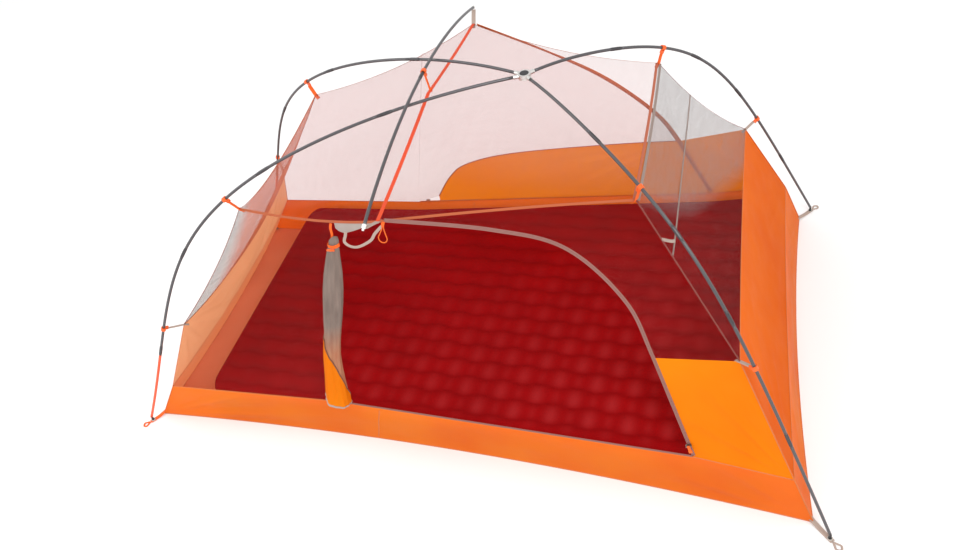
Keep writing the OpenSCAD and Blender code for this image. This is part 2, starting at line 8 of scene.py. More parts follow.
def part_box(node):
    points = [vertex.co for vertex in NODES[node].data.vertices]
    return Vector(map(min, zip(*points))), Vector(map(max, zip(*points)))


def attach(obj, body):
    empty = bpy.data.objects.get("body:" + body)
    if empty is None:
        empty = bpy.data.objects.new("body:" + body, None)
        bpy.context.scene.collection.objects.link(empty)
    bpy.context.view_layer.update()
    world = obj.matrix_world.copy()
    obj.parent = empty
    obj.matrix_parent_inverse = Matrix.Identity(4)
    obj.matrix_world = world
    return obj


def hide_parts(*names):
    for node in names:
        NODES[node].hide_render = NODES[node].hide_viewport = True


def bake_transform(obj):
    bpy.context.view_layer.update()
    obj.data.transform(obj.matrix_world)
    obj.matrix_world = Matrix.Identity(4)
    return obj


# The tent body and its mat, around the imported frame. The design points below
# repeat the part's own, in millimetres, and a ribbon's width, thickness and lift
# are in millimetres too; everything else is in metres.
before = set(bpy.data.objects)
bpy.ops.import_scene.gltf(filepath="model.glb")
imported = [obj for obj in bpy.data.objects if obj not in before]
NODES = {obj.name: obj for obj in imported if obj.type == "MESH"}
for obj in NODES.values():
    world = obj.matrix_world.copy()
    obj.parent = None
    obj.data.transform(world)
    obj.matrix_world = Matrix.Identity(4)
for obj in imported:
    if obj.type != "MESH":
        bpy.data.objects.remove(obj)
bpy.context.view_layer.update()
MM = 0.001
UP = np.array([0.0, 0.0, 1.0])
FRONT, BACK = -1, 1
SIDES = (FRONT, "front"), (BACK, "back")


# ---- camera
CAMERA_AT = (0.845222, -1.948543, 2.220551)
CAMERA_TURNS = (22.25069541, 42.75196101, 13.16062118)  # yaw, pitch and roll, in degrees
CAMERA_YAW, CAMERA_PITCH, CAMERA_ROLL = (math.radians(a) for a in CAMERA_TURNS)
FOCAL = 823.918
FRAME_WIDTH = 978
SENSOR = 36.0


def add_object(name, data):
    o = bpy.data.objects.new(name, data)
    bpy.context.scene.collection.objects.link(o)
    return o


def make_camera():
    cy, sy = math.cos(CAMERA_YAW), math.sin(CAMERA_YAW)
    cp, sp = math.cos(CAMERA_PITCH), math.sin(CAMERA_PITCH)
    forward = Vector((-sy * cp, cy * cp, -sp))
    right = Vector((cy, sy, 0))
    down = forward.cross(right)
    cr, sr = math.cos(CAMERA_ROLL), math.sin(CAMERA_ROLL)
    x_axis = cr * right + sr * down
    y_axis = sr * right - cr * down
    turn = Matrix((x_axis, y_axis, -forward)).transposed().to_4x4()
    data = bpy.data.cameras.new("camera")
    data.sensor_width = SENSOR
    data.lens = SENSOR * FOCAL / FRAME_WIDTH
    data.clip_start, data.clip_end = 0.05, 60
    camera = add_object("camera", data)
    camera.matrix_world = Matrix.Translation(CAMERA_AT) @ turn
    bpy.context.scene.camera = camera


make_camera()


# ---- curves
def xyz(x, y, z):
    return np.array((x, y, z), float)


def vec(x, y, z):
    return xyz(x, y, z) * MM


def vecs(*rows):
    return [vec(*row) for row in rows]


def flip(p):
    return np.asarray(p) * xyz(1, -1, 1)


def to_side(p, side):
    return np.asarray(p) if side == BACK else flip(p)


def unit(v):
    v = np.asarray(v, float)
    return v / np.maximum(np.linalg.norm(v, axis=-1, keepdims=True), 1e-12)


def mix(a, b, t):
    return np.asarray(a) * (1 - t) + np.asarray(b) * t


def bezier(points, t):
    points = [np.asarray(p, float)[None] for p in points]
    t = np.atleast_1d(t)[:, None]
    while len(points) > 1:
        points = [a * (1 - t) + b * t for a, b in zip(points, points[1:])]
    return points[0]


def sagged(a, b, s, n=72):
    t = np.linspace(0, 1, n + 1)[:, None]
    return np.asarray(a) * (1 - t) + np.asarray(b) * t + 4 * t * (1 - t) * np.asarray(s)


def spline(points, n):
    p = np.asarray(points, float)
    s = np.linspace(0, len(p) - 1, n + 1)
    k = np.minimum(s.astype(int), len(p) - 2)
    t = (s - k)[:, None]
    a, b, c, d = p[np.maximum(k - 1, 0)], p[k], p[k + 1], p[np.minimum(k + 2, len(p) - 1)]
    return b + 0.5 * t * (c - a + t * (2 * a - 5 * b + 4 * c - d + t * (3 * b - a - 3 * c + d)))


def along(path, t):
    path = np.asarray(path)
    s = np.clip(np.atleast_1d(t), 0, 1) * (len(path) - 1)
    k = np.minimum(s.astype(int), len(path) - 2)
    f = (s - k)[:, None]
    return path[k] * (1 - f) + path[k + 1] * f


def lengths(path):
    return np.concatenate([[0], np.cumsum(np.linalg.norm(np.diff(path, axis=0), axis=1))])


def even(path, n):
    """The path again, with n equal steps."""
    d = lengths(path)
    want = np.linspace(0, d[-1], n + 1)
    return np.stack([np.interp(want, d, path[:, k]) for k in range(3)], 1)


def joined(*paths):
    return np.concatenate([np.asarray(paths[0])] + [np.asarray(p)[1:] for p in paths[1:]])


def tangents(path):
    path = np.asarray(path)
    i, last = np.arange(len(path)), len(path) - 1
    return unit(path[np.minimum(i + 1, last)] - path[np.maximum(i - 1, 0)])


# ---- design points
hub_point = vec(286, 0, 1057)
foot_leg = [hub_point, vec(-243, 232, 1089), vec(-867, 364, 843), vec(-747, 433, 718), vec(-1148, 547, 20)]
head_leg = [hub_point, vec(497, 217, 1057), vec(791, 504, 855), vec(767, 441, 908), vec(1144, 700, 20)]
foot_corner, head_corner = vec(-1121, 514, 3), vec(1103, 655, 3)
foot_wall, head_wall = vec(-1001, 511, 172), vec(1040, 634, 172)
foot_mid, head_mid = vec(-895, 420, 400), vec(884, 517, 514)
foot_shoulder, head_shoulder = vec(-560, 309, 818), vec(617, 328, 889)
brow_point, brow_tip = vec(-7, 507, 954), vec(-15, 558, 988)
rib_top = vec(-8, 0, 1005)
jamb_top, jamb_foot = vec(-190, 443, 888), vec(-395, 512, 172)
sill_corner = vec(773, 592, 172)
arc_points = vecs((8, 501, 954), (261, 438, 875), (441, 409, 791), (588, 440, 639), (662, 497, 481),
                  (773, 592, 178))
door_panel_top = vecs((-300, 522, 198), (-235, 528, 292), (-150, 520, 362), (40, 512, 418),
                      (400, 508, 458), (655, 500, 480))
POLE_R, FERRULE_LENGTH = 4.5 * MM, 46 * MM
FERRULE_RADII = np.array([4.4, 5.0, 5.2, 5.2, 5.2, 5.2, 5.2, 5.0, 4.4]) * MM
BROW_HEIGHT = 1066 * MM

JAMB_STEP = 49  # the step of the top edge where the door begins
top_foot_edge = sagged(foot_shoulder, brow_point, vec(8, -8, -25))
top_head_edge = sagged(brow_point, head_shoulder, vec(0, -25, -14))
head_corner_edge = sagged(head_shoulder, head_mid, vec(0, -18, -20))
foot_corner_edge = sagged(foot_shoulder, foot_mid, vec(0, -25, -18))
arc_curve = spline(arc_points, 120)
arc_bend = arc_curve[:97]
arc_edge = joined(arc_bend, sagged(arc_curve[96], arc_points[5], vec(0, 0, 0), 24))
rib_sag = vec(0, 0, -4)
rib_edge = joined(sagged(flip(brow_point), rib_top, rib_sag, 36), sagged(rib_top, brow_point, rib_sag, 36))
roof_foot_edge = sagged(flip(foot_shoulder), foot_shoulder, vec(-62, 0, -94))
roof_head_edge = sagged(flip(head_shoulder), head_shoulder, vec(4, 0, -2))
foot_panel_edge = sagged(flip(foot_mid), foot_mid, vec(-14, 0, -66))
head_panel_edge = sagged(flip(head_mid), head_mid, vec(-4, 0, -4))
floor_side = sagged(foot_corner, head_corner, vec(0, -45, 0))
floor_foot = sagged(flip(foot_corner), foot_corner, vec(26, 0, 0))
wall_foot = sagged(flip(foot_wall), foot_wall, vec(26, 0, 0))
floor_head = sagged(flip(head_corner), head_corner, vec(-26, 0, 0))
wall_head = sagged(flip(head_wall), head_wall, vec(-8, 0, 0))


def wall_at(x):
    corners = np.array([foot_wall, jamb_foot, sill_corner, head_wall])
    x = np.atleast_1d(x)
    return np.stack([x] + [np.interp(x, corners[:, 0], corners[:, k]) for k in (1, 2)], 1)


wall_side = wall_at(np.linspace(foot_wall[0], head_wall[0], 97))
panel_top = spline(door_panel_top, 80)


# ---- materials
class Shade:
    """A Principled material with small helpers for its node tree."""

    def __init__(self, name, colour, rough=0.6, **sockets):
        self.mat = bpy.data.materials.new(name)
        self.mat.use_nodes = True
        self.tree = self.mat.node_tree
        self.bsdf = self.tree.nodes["Principled BSDF"]
        self.mat.diffuse_color = (*colour, 1)
        sockets.update(Base_Color=(*colour, 1), Roughness=rough)
        for key, value in sockets.items():
            self.bsdf.inputs[key.replace("_", " ")].default_value = value

    def node(self, kind, **inputs):
        n = self.tree.nodes.new(kind)
        for key, value in inputs.items():
            self.put(n.inputs[key.replace("_", " ")], value)
        return n

    def put(self, socket, value):
        if isinstance(value, bpy.types.NodeSocket):
            self.tree.links.new(value, socket)
        else:
            socket.default_value = value

    def math(self, op, a, b=0.0, clamp=False):
        n = self.tree.nodes.new("ShaderNodeMath")
        n.operation, n.use_clamp = op, clamp
        self.put(n.inputs[0], a)
        self.put(n.inputs[1], b)
        return n.outputs[0]

    def times(self, a, b, clamp=False):
        return self.math("MULTIPLY", a, b, clamp)

    def span(self, value, low, high, to_low, to_high):
        n = self.tree.nodes.new("ShaderNodeMapRange")
        for i, v in enumerate((value, low, high, to_low, to_high)):
            self.put(n.inputs[i], v)
        return n.outputs[0]

    def place(self, kind="Object", scale=(1, 1, 1)):
        coords = self.tree.nodes.new("ShaderNodeTexCoord")
        n = self.tree.nodes.new("ShaderNodeMapping")
        n.inputs["Scale"].default_value = scale
        self.tree.links.new(coords.outputs[kind], n.inputs["Vector"])
        return n.outputs[0]

    def axes(self, kind="UV"):
        split = self.tree.nodes.new("ShaderNodeSeparateXYZ")
        self.tree.links.new(self.place(kind), split.inputs[0])
        return list(split.outputs)

    def noise(self, scale, detail=2.0, where=None):
        n = self.node("ShaderNodeTexNoise", Scale=scale, Detail=detail)
        self.put(n.inputs["Vector"], self.place() if where is None else where)
        return n.outputs["Fac"]

    def blend(self, factor, a, b):
        n = self.tree.nodes.new("ShaderNodeMix")
        n.data_type = "RGBA"
        self.put(n.inputs[0], factor)
        for socket, value in ((n.inputs[6], a), (n.inputs[7], b)):
            self.put(socket, value if isinstance(value, bpy.types.NodeSocket) else (*value, 1))
        return n.outputs[2]

    def patches(self, noise, a, b, low=0.3, high=0.7):
        return self.blend(self.span(noise, low, high, 0, 1), a, b)

    def bump(self, height, depth, strength=1.0):
        n = self.node("ShaderNodeBump", Strength=strength, Distance=depth, Height=height)
        self.put(self.bsdf.inputs["Normal"], n.outputs[0])

    def threads(self, axis, step, sharp=1.0):
        """1 on each thread line, every step metres, falling to 0 between."""
        wave = self.math("COSINE", self.times(axis, math.pi / step))
        return self.math("POWER", self.math("ABSOLUTE", wave), sharp)

    def weave(self, step):
        u, v = self.axes()[:2]
        return self.times(self.threads(u, step), self.threads(v, step))

    def crossed(self, step, sharp):
        u, v = self.axes()[:2]
        return self.math("MAXIMUM", self.threads(u, step, sharp), self.threads(v, step, sharp))

    def colour(self, value):
        self.put(self.bsdf.inputs["Base Color"], value)

    def roughness(self, noise, low, high):
        self.put(self.bsdf.inputs["Roughness"], self.span(noise, 0.3, 0.7, low, high))

    def mixed(self, factor, one, two):
        """Puts a mix of two shader nodes on the surface."""
        n = self.tree.nodes.new("ShaderNodeMixShader")
        for socket, value in zip(n.inputs, (factor, one.outputs[0], two.outputs[0])):
            self.put(socket, value)
        self.put(self.tree.nodes["Material Output"].inputs["Surface"], n.outputs[0])


def srgb(r, g, b):
    return tuple(((c / 255 + 0.055) / 1.055) ** 2.4 if c > 10 else c / 255 / 12.92 for c in (r, g, b))


def scaled(colour, by):
    return tuple(c * by for c in colour)


RIPSTOP_STEP, WEAVE_STEP, NET_CELL, TAPE_RIB, STITCH_STEP = 6 * MM, 0.9 * MM, 1.7 * MM, 1.6 * MM, 3.2 * MM


def cloth(name, light, dark, through, glow, rough=0.6, gloss=0.08):
    """Coated ripstop: soft mottling, a fine weave, ripstop lines, light passing through."""
    light, dark = srgb(*light), srgb(*dark)
    s = Shade(name, light, rough, Specular_IOR_Level=gloss)
    lines, fine = s.crossed(RIPSTOP_STEP, 60), s.weave(WEAVE_STEP)
    base = s.patches(s.noise(3.2, 3), light, dark, 0.35, 0.68)
    s.colour(s.blend(s.times(lines, 0.16), base, scaled(light, 0.72)))
    s.roughness(s.noise(14, 3), rough - 0.07, rough + 0.08)
    s.bump(s.math("ADD", s.times(fine, 0.5), lines), 0.15 * MM, 0.35)
    s.mixed(through, s.bsdf, s.node("ShaderNodeBsdfTranslucent", Color=(*srgb(*glow), 1)))
    return s.mat


def net(name, thread, low, high, tint, fade=None, turn=None):
    """Mosquito net: tinted gaps between fine threads that cover low to high of the surface.

    fade is (slope, from, to, share) along y - slope x; turn is (from, to, colour) along y. Both are painted
    glare: along fixed lines the net turns milkier, clearer or salmon.
    """
    thread = srgb(*thread)
    s = Shade(name, thread, 0.85, Specular_IOR_Level=0.2)
    alpha = s.span(s.crossed(NET_CELL, 6), 0, 1, low, high)
    streak = s.noise(9, 2, s.place("UV", (1, 5, 1)))
    alpha = s.times(alpha, s.span(streak, 0.3, 0.7, 0.9, 1.12))
    x, y = s.axes("Object")[:2]
    # Painted glare: the net's cover thins or thickens across a fixed line.
    if fade:
        slope, start, stop, share = fade
        across = s.math("SUBTRACT", y, s.times(x, slope))
        alpha = s.times(alpha, s.span(across, start, stop, 1, share))
    base = s.blend(s.noise(5, 2), thread, scaled(thread, 0.86))
    # Painted glare: the threads turn salmon past a fixed line.
    if turn:
        start, stop, other = turn
        base = s.blend(s.span(y, start, stop, 0, 1), base, srgb(*other))
    s.colour(base)
    gap = s.node("ShaderNodeBsdfTransparent", Color=(*tint, 1))
    s.mixed(s.math("MINIMUM", alpha, 0.95), gap, s.bsdf)
    return s.mat


def webbing(name, *colour):
    """Woven tape: fine cross ribs with a row of stitches down each edge."""
    colour = srgb(*colour)
    s = Shade(name, colour, 0.7, Specular_IOR_Level=0.25)
    u, v = s.axes()[:2]
    ribs = s.threads(u, TAPE_RIB)
    off_row = s.math("ABSOLUTE", s.math("SUBTRACT", s.math("ABSOLUTE", v), 0.36))
    stitch = s.times(s.threads(u, STITCH_STEP, 0.7), s.span(off_row, 0, 0.06, 1, 0))
    base = s.blend(s.times(ribs, 0.3), colour, scaled(colour, 0.7))
    thread = tuple(min(1, c * 1.25 + 0.01) for c in colour)
    s.colour(s.blend(s.times(stitch, 0.4, True), base, thread))
    s.bump(ribs, 0.2 * MM, 0.5)
    return s.mat


def plastic(name, colour, rough=0.4):
    colour = srgb(*colour)
    s = Shade(name, colour, rough, IOR=1.46)
    grain = s.noise(900, 2)
    s.colour(s.patches(s.noise(40, 2), colour, scaled(colour, 0.85)))
    s.roughness(grain, rough - 0.06, rough + 0.06)
    s.bump(grain, 0.05 * MM, 0.3)
    return s.mat


def braid(name, *colour):
    """Braided cord: fine slanted strands in object space."""
    colour = srgb(*colour)
    s = Shade(name, colour, 0.75, Specular_IOR_Level=0.25)
    x, y, z = s.axes("Object")
    flat = s.math("ADD", x, y)
    one = s.threads(s.math("ADD", flat, z), 1.5 * MM)
    two = s.threads(s.math("SUBTRACT", z, flat), 1.5 * MM)
    strands = s.times(one, two)
    s.colour(s.blend(strands, scaled(colour, 0.75), colour))
    s.bump(strands, 0.2 * MM, 0.5)
    return s.mat


def metal(name, colour, rough, brushed):
    colour = srgb(*colour)
    s = Shade(name, colour, rough, Metallic=1.0)
    scratch = s.noise(220, 3, s.place("Object", (1, 1, 8)))
    s.colour(s.patches(scratch, colour, scaled(colour, 0.8)))
    s.roughness(scratch, rough - 0.07, rough + 0.1)
    if brushed:
        s.bump(scratch, 0.05 * MM, brushed)
    return s.mat


def pole_metal(name, *colour):
    """Anodised pole: dark coat with faint lengthwise streaks."""
    colour = srgb(*colour)
    s = Shade(name, colour, 0.32, Metallic=0.55, Coat_Weight=0.25, Coat_Roughness=0.25)
    streak = s.noise(60, 3, s.place("UV", (1, 40, 1)))
    s.colour(s.patches(streak, colour, tuple(c * 1.5 + 0.004 for c in colour)))
    s.roughness(streak, 0.26, 0.42)
    return s.mat


def rolled_cloth(name):
    """The rolled door: grey net above, with the orange cloth showing through it lower down."""
    s = Shade(name, srgb(118, 104, 97), 0.8, Specular_IOR_Level=0.15)
    streak = s.noise(10, 3, s.place("UV", (1, 7, 1)))
    upper = s.patches(streak, srgb(114, 100, 92), srgb(136, 119, 110))
    lower = s.patches(streak, srgb(166, 106, 80), srgb(178, 128, 98))
    s.colour(s.blend(s.span(s.axes("Object")[2], 0.56, 0.44, 0, 1), upper, lower))
    s.bump(s.math("ADD", s.weave(1.8 * MM), s.times(streak, 2.0)), 0.5 * MM, 0.4)
    return s.mat


def mat_cloth(name):
    """Brushed polyester of the air mat, with a painted highlight on the puffs and painted shade in the
    grooves.
    """
    light, dark, painted_highlight = srgb(146, 4, 8), srgb(104, 3, 6), srgb(164, 44, 46)
    s = Shade(name, light, 0.8, Specular_IOR_Level=0.05)
    base = s.patches(s.noise(6, 4), light, tuple(mix(light, dark, 0.3)), high=0.72)
    # Painted light: the groove mark darkens the grooves as painted shade, and the puff mark lightens the
    # puffs as a painted highlight.
    for mark, colour, share in (("groove", dark, 0.5), ("puff", painted_highlight, 0.6)):
        n = s.node("ShaderNodeAttribute")
        n.attribute_name = mark
        base = s.blend(s.times(n.outputs["Fac"], share, True), base, colour)
    s.colour(base)
    s.roughness(s.noise(30, 3), 0.68, 0.82)
    s.bump(s.math("ADD", s.times(s.weave(1.1 * MM), 0.3), s.noise(55, 4)), 0.5 * MM, 0.35)
    return s.mat


PINK, PINK_GAP, GREY_GAP = (210, 160, 158), (0.93, 0.88, 0.875), (0.96, 0.96, 0.96)
ORANGE, GREY, SALMON = (255, 146, 12), (176, 164, 156), (238, 134, 88)
FINISHES = (
    (cloth, {
        "orange_cloth": (ORANGE, (252, 132, 12), 0.35, ORANGE),
        "side_cloth": ((236, 112, 12), (226, 98, 12), 0.3, (244, 112, 12)),
        "foot_cloth": ((250, 180, 138), (242, 162, 116), 0.4, (252, 174, 120)),
        "tub_cloth": ((248, 128, 32), (242, 110, 28), 0.3, (248, 112, 28), 0.5, 0.14),
        "foot_tub": ((244, 160, 118), (232, 146, 104), 0.4, (250, 150, 96)),
        "floor_cloth": ((242, 162, 122), (228, 146, 108), 0.1, (236, 150, 110)),
        "grey_cloth": (GREY, (156, 144, 138), 0.1, GREY)}),
    (net, {
        # The fades on pink_mesh, foot_net and head_net, and foot_net's salmon turn, are painted glare on the
        # nets.
        "pink_mesh": (PINK, 0.02, 0.26, PINK_GAP, (0, -0.17, -0.33, 0.2)),
        "back_net": (PINK, 0.02, 0.26, PINK_GAP),
        "grey_mesh": ((150, 140, 136), 0.0, 0.04, GREY_GAP),
        "foot_net": ((116, 107, 100), 0.26, 0.7, (0.93, 0.91, 0.89), (0, -0.28, -0.18, 1.7),
                     (-0.30, -0.20, SALMON)),
        "head_net": ((140, 132, 130), 0.26, 0.72, (0.95, 0.94, 0.94), (2.31, -1.68, -1.8, 0.12))}),
    (webbing, {
        "red_tape": (222, 78, 44), "seam_tape": (180, 92, 56), "corner_tape": (132, 66, 60),
        "zip_tape": (148, 104, 96), "edge_tape": (146, 128, 120), "brown_tape": (178, 98, 72),
        "grey_tape": (178, 158, 146), "dark_tape": (120, 76, 58), "back_tape": (216, 118, 62),
        "orange_tape": (246, 104, 36)}),
    (pole_metal, {"pole": (78, 76, 78), "pole_red": (224, 84, 46)}),
    (metal, {"ferrule": ((92, 90, 92), 0.3, 0), "hub_metal": ((226, 224, 220), 0.34, 0.3),
             "slider_metal": ((150, 146, 142), 0.38, 0.3)}),
    (plastic, {"black_plastic": ((34, 34, 36),), "white_plastic": ((236, 236, 232),),
               "orange_plastic": ((248, 100, 30),), "foot_plastic": ((186, 180, 172), 0.5)}),
    (braid, {"orange_cord": (246, 112, 40)}),
    (rolled_cloth, {"rolled_net": ()}),
    (mat_cloth, {"mat_cloth": ()}),
)
MATERIALS = {name: make(name, *values) for make, table in FINISHES for name, values in table.items()}


# ---- mesh makers
FLOOR_HEIGHT, STAGE_REACH = 2.2 * MM, 14.0
TAPE_PROFILE = ((-1, 0.25), (-0.82, 1), (0, 1.12), (0.82, 1), (1, 0.25), (1, -0.25), (0.82, -1), (-0.82, -1),
                (-1, -0.25))


def new_piece(name, verts, faces, material, uvs):
    """A smooth mesh piece. uvs holds one (u, v) in metres for each vertex."""
    mesh = bpy.data.meshes.new(name)
    mesh.from_pydata(np.asarray(verts).tolist(), [], faces)
    mesh.materials.append(MATERIALS[material])
    layer = mesh.uv_layers.new(name="cloth")
    index = np.zeros(len(mesh.loops), int)
    mesh.loops.foreach_get("vertex_index", index)
    layer.data.foreach_set("uv", np.asarray(uvs, np.float32)[index].ravel())
    mesh.polygons.foreach_set("use_smooth", np.ones(len(mesh.polygons), bool))
    mesh.update()
    return add_object(name, mesh)


def place(o, body, slot, *stands_for):
    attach(o, body)
    if stands_for:
        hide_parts(*stands_for)
    return o


def grid_faces(n, m, start=0):
    return [[start + i * m + j, start + (i + 1) * m + j, start + (i + 1) * m + j + 1, start + i * m + j + 1]
            for i in range(n - 1) for j in range(m - 1)]


def ring_faces(n, sides):
    return [[i + k, i + (k + 1) % sides, i + sides + (k + 1) % sides, i + sides + k]
            for i in range(0, (n - 1) * sides, sides) for k in range(sides)]


def grid_uv(grid):
    m = grid.shape[1]
    across = np.stack([lengths(row) for row in grid])
    run = lengths(grid[:, m // 2])
    across -= across[:, m // 2][:, None]
    return np.stack([np.repeat(run[:, None], m, 1), across], 2).reshape(-1, 2)


def grid_normals(grid):
    du = np.gradient(grid, axis=0)
    dv = np.gradient(grid, axis=1)
    return unit(np.cross(du, dv))


def ripples(grid, x_scale, y_scale, shift):
    """Smooth noise at each point of a grid, from its first two numbers."""
    return np.array([[noise.noise(Vector((p[0] * x_scale + shift[0], p[1] * y_scale + shift[1], shift[2])))
                      for p in row] for row in grid])


def between_edges(n, m, gain=1.0):
    """0 at the edges of an n by m grid, rising to 1 inside."""
    u, v = np.linspace(0, 1, n)[:, None], np.linspace(0, 1, m)[None]
    return np.clip(16 * u * (1 - u) * v * (1 - v) * gain, 0, 1)


def wrinkled(grid, amount, wave, seed, stretch=3.0):
    """Soft tension wrinkles along the first direction, none at the seams."""
    n, m = grid.shape[:2]
    uv = grid_uv(grid).reshape(n, m, 2)
    lift = ripples(uv, 1 / (wave * stretch), 1 / wave, (seed, 0, seed * 1.7))
    fine = ripples(uv, 2.5 / (wave * stretch), 2.5 / wave, (0, seed, seed * 0.7))
    height = (lift + 0.35 * fine) * np.sqrt(between_edges(n, m)) * amount * MM
    return grid + grid_normals(grid) * height[..., None]


def fanned(grid, corner, amount, folds, reach):
    """Creases that fan out from one corner of the grid, where the cloth is pulled."""
    n, m = grid.shape[:2]
    i, j = (n - 1) * corner[0], (m - 1) * corner[1]
    origin = grid[i, j]
    d = grid - origin
    r = np.linalg.norm(d, axis=2)
    angle = np.arctan2(d @ unit(grid[i, m // 2] - origin), d @ unit(grid[n // 2, j] - origin))
    wave = np.sin(folds * angle + 0.7) + 0.5 * np.sin(folds * 1.9 * angle + 2.0)
    strength = wave * np.exp(-r / reach) * np.clip(r / (0.12 * reach), 0, 1) * between_edges(n, m, 2.5)
    return grid + grid_normals(grid) * (strength * amount * MM)[..., None]


def panel(name, grid, shaped, material, slot, *nodes, body="tent", held="stretched", rests_on=()):
    """A sheet: the smooth grid gives its cut, the shaped grid its surface."""
    o = new_piece(name, shaped.reshape(-1, 3), grid_faces(*grid.shape[:2]), material, grid_uv(grid))
    place(o, body, slot, *nodes)


def tube(path, radius, sides=16, cap=True):
    """Vertices, faces and UVs of a tube; radius is a number or one for each point."""
    path = np.asarray(path)
    n = len(path)
    radius = np.broadcast_to(radius, (n,))
    t = tangents(path)
    side = np.zeros_like(path)
    side[0] = unit(np.cross(t[0], UP if abs(t[0][2]) < 0.9 else xyz(1.0, 0, 0)))
    for i in range(1, n):
        side[i] = unit(side[i - 1] - t[i] * float(side[i - 1] @ t[i]))
    other = np.cross(t, side)
    angle = np.linspace(0, 2 * math.pi, sides, endpoint=False)
    ring = side[:, None] * np.cos(angle)[None, :, None] + other[:, None] * np.sin(angle)[None, :, None]
    verts = (path[:, None] + ring * radius[:, None, None]).reshape(-1, 3)
    faces = ring_faces(n, sides)
    uv = np.stack([np.repeat(lengths(path), sides), np.tile(np.abs(angle - math.pi) / math.pi, n)], 1)
    if cap:
        faces.append(list(range(sides))[::-1])
        faces.append([(n - 1) * sides + k for k in range(sides)])
    return verts, faces, uv


def ribbon(path, normals, width, thick=0.9, lift=0.0):
    """A flat tape along a path, lying across the normals; width, thick and lift are in millimetres."""
    width, thick, lift = np.asarray(width) * MM, thick * MM, lift * MM
    path = np.asarray(path)
    n, k = len(path), len(TAPE_PROFILE)
    t = tangents(path)
    normals = np.broadcast_to(normals, path.shape)
    normals = unit(normals - t * np.sum(normals * t, axis=1, keepdims=True))
    across = np.cross(t, normals)
    path = path + normals * lift
    half = np.broadcast_to(width / 2, (n,))
    verts, uv = [], []
    for i, run in enumerate(lengths(path)):
        for a, b in TAPE_PROFILE:
            verts.append(path[i] + across[i] * half[i] * a + normals[i] * thick / 2 * b)
            uv.append((run, a / 2))
    faces = [[i * k + j, (i + 1) * k + j, (i + 1) * k + (j + 1) % k, i * k + (j + 1) % k]
             for i in range(n - 1) for j in range(k)]
    faces.append(list(range(k)))
    faces.append([(n - 1) * k + j for j in range(k)][::-1])
    return np.array(verts), faces, np.array(uv)


def merged(parts):
    """Several (verts, faces, uvs) as one."""
    faces, start = [], 0
    for verts, own, _ in parts:
        faces += [[start + i for i in face] for face in own]
        start += len(verts)
    return np.concatenate([part[0] for part in parts]), faces, np.concatenate([part[2] for part in parts])


def piece(name, parts, material, slot, *nodes, body="tent"):
    verts, faces, uvs = merged(parts)
    return place(new_piece(name, verts, faces, material, uvs), body, slot, *nodes)


# ---- canopy panels
def coons(low, high, left=None, right=None, n=72, m=28, sag=(0, 0, 0)):
    """A patch inside four edges: low and high run along u, left and right along v."""
    u, v = np.linspace(0, 1, n + 1), np.linspace(0, 1, m + 1)
    a, b = along(low, u), along(high, u)
    left = np.array([a[0], b[0]]) if left is None else left
    right = np.array([a[-1], b[-1]]) if right is None else right
    c, d = along(left, v), along(right, v)
    uu, vv = u[:, None, None], v[None, :, None]
    ruled = a[:, None] * (1 - vv) + b[:, None] * vv + c[None] * (1 - uu) + d[None] * uu
    corners = (a[0] * (1 - uu) * (1 - vv) + a[-1] * uu * (1 - vv) + b[0] * (1 - uu) * vv + b[-1] * uu * vv)
    return ruled - corners + 16 * uu * (1 - uu) * vv * (1 - vv) * np.asarray(sag) * MM


def make_ends():
    foot_solid = coons(wall_foot, foot_panel_edge, sag=(10, 0, 0), n=96, m=40)
    shaped = fanned(wrinkled(foot_solid, 6, 0.09, 3.1, 4), (0, 1), 5, 14, 0.4)
    shaped = fanned(shaped, (1, 1), 5, 12, 0.35)
    panel("foot_panel_cloth", foot_solid, shaped, "foot_cloth", "orange_cloth", "foot_panel")
    foot_net = coons(foot_panel_edge, roof_foot_edge, flip(foot_corner_edge[::-1]), foot_corner_edge[::-1],
                     sag=(14, 0, -8))
    panel("foot_net_cloth", foot_net, wrinkled(foot_net, 3, 0.12, 5.2), "foot_net", "grey_mesh", "foot_mesh")
    head_solid = coons(wall_head, head_panel_edge, sag=(-8, 0, -4), m=32)
    shaped = fanned(wrinkled(head_solid, 4, 0.1, 7.4, 4), (0, 0), 3, 34, 0.3)
    shaped = fanned(shaped, (1, 0), 3, 34, 0.3)
    panel("head_panel_cloth", head_solid, shaped, "side_cloth", "orange_cloth", "head_panel")
    head_net = coons(head_panel_edge, roof_head_edge, flip(head_corner_edge[::-1]), head_corner_edge[::-1],
                     sag=(-30, 0, -24), n=110, m=56)
    shaped = fanned(wrinkled(head_net, 6, 0.11, 2.2, 5), (1, 1), 4, 12, 0.4)
    shaped = fanned(shaped, (0, 1), 4, 12, 0.35)
    panel("head_net_cloth", head_net, shaped, "head_net", "grey_mesh", "head_mesh")
    for word, low, high, edge, sag, seed in (("foot", roof_foot_edge, rib_edge, top_foot_edge, -16, 8.3),
                                             ("head", rib_edge, roof_head_edge, top_head_edge, -12, 1.3)):
        roof = coons(low, high, flip(edge), edge, n=80, m=48, sag=(0, 0, sag))
        shaped = wrinkled(roof, 4, 0.16, seed)
        panel(f"roof_{word}_net", roof, shaped, "pink_mesh", "pink_mesh", f"roof_{word}_mesh")
    return head_net


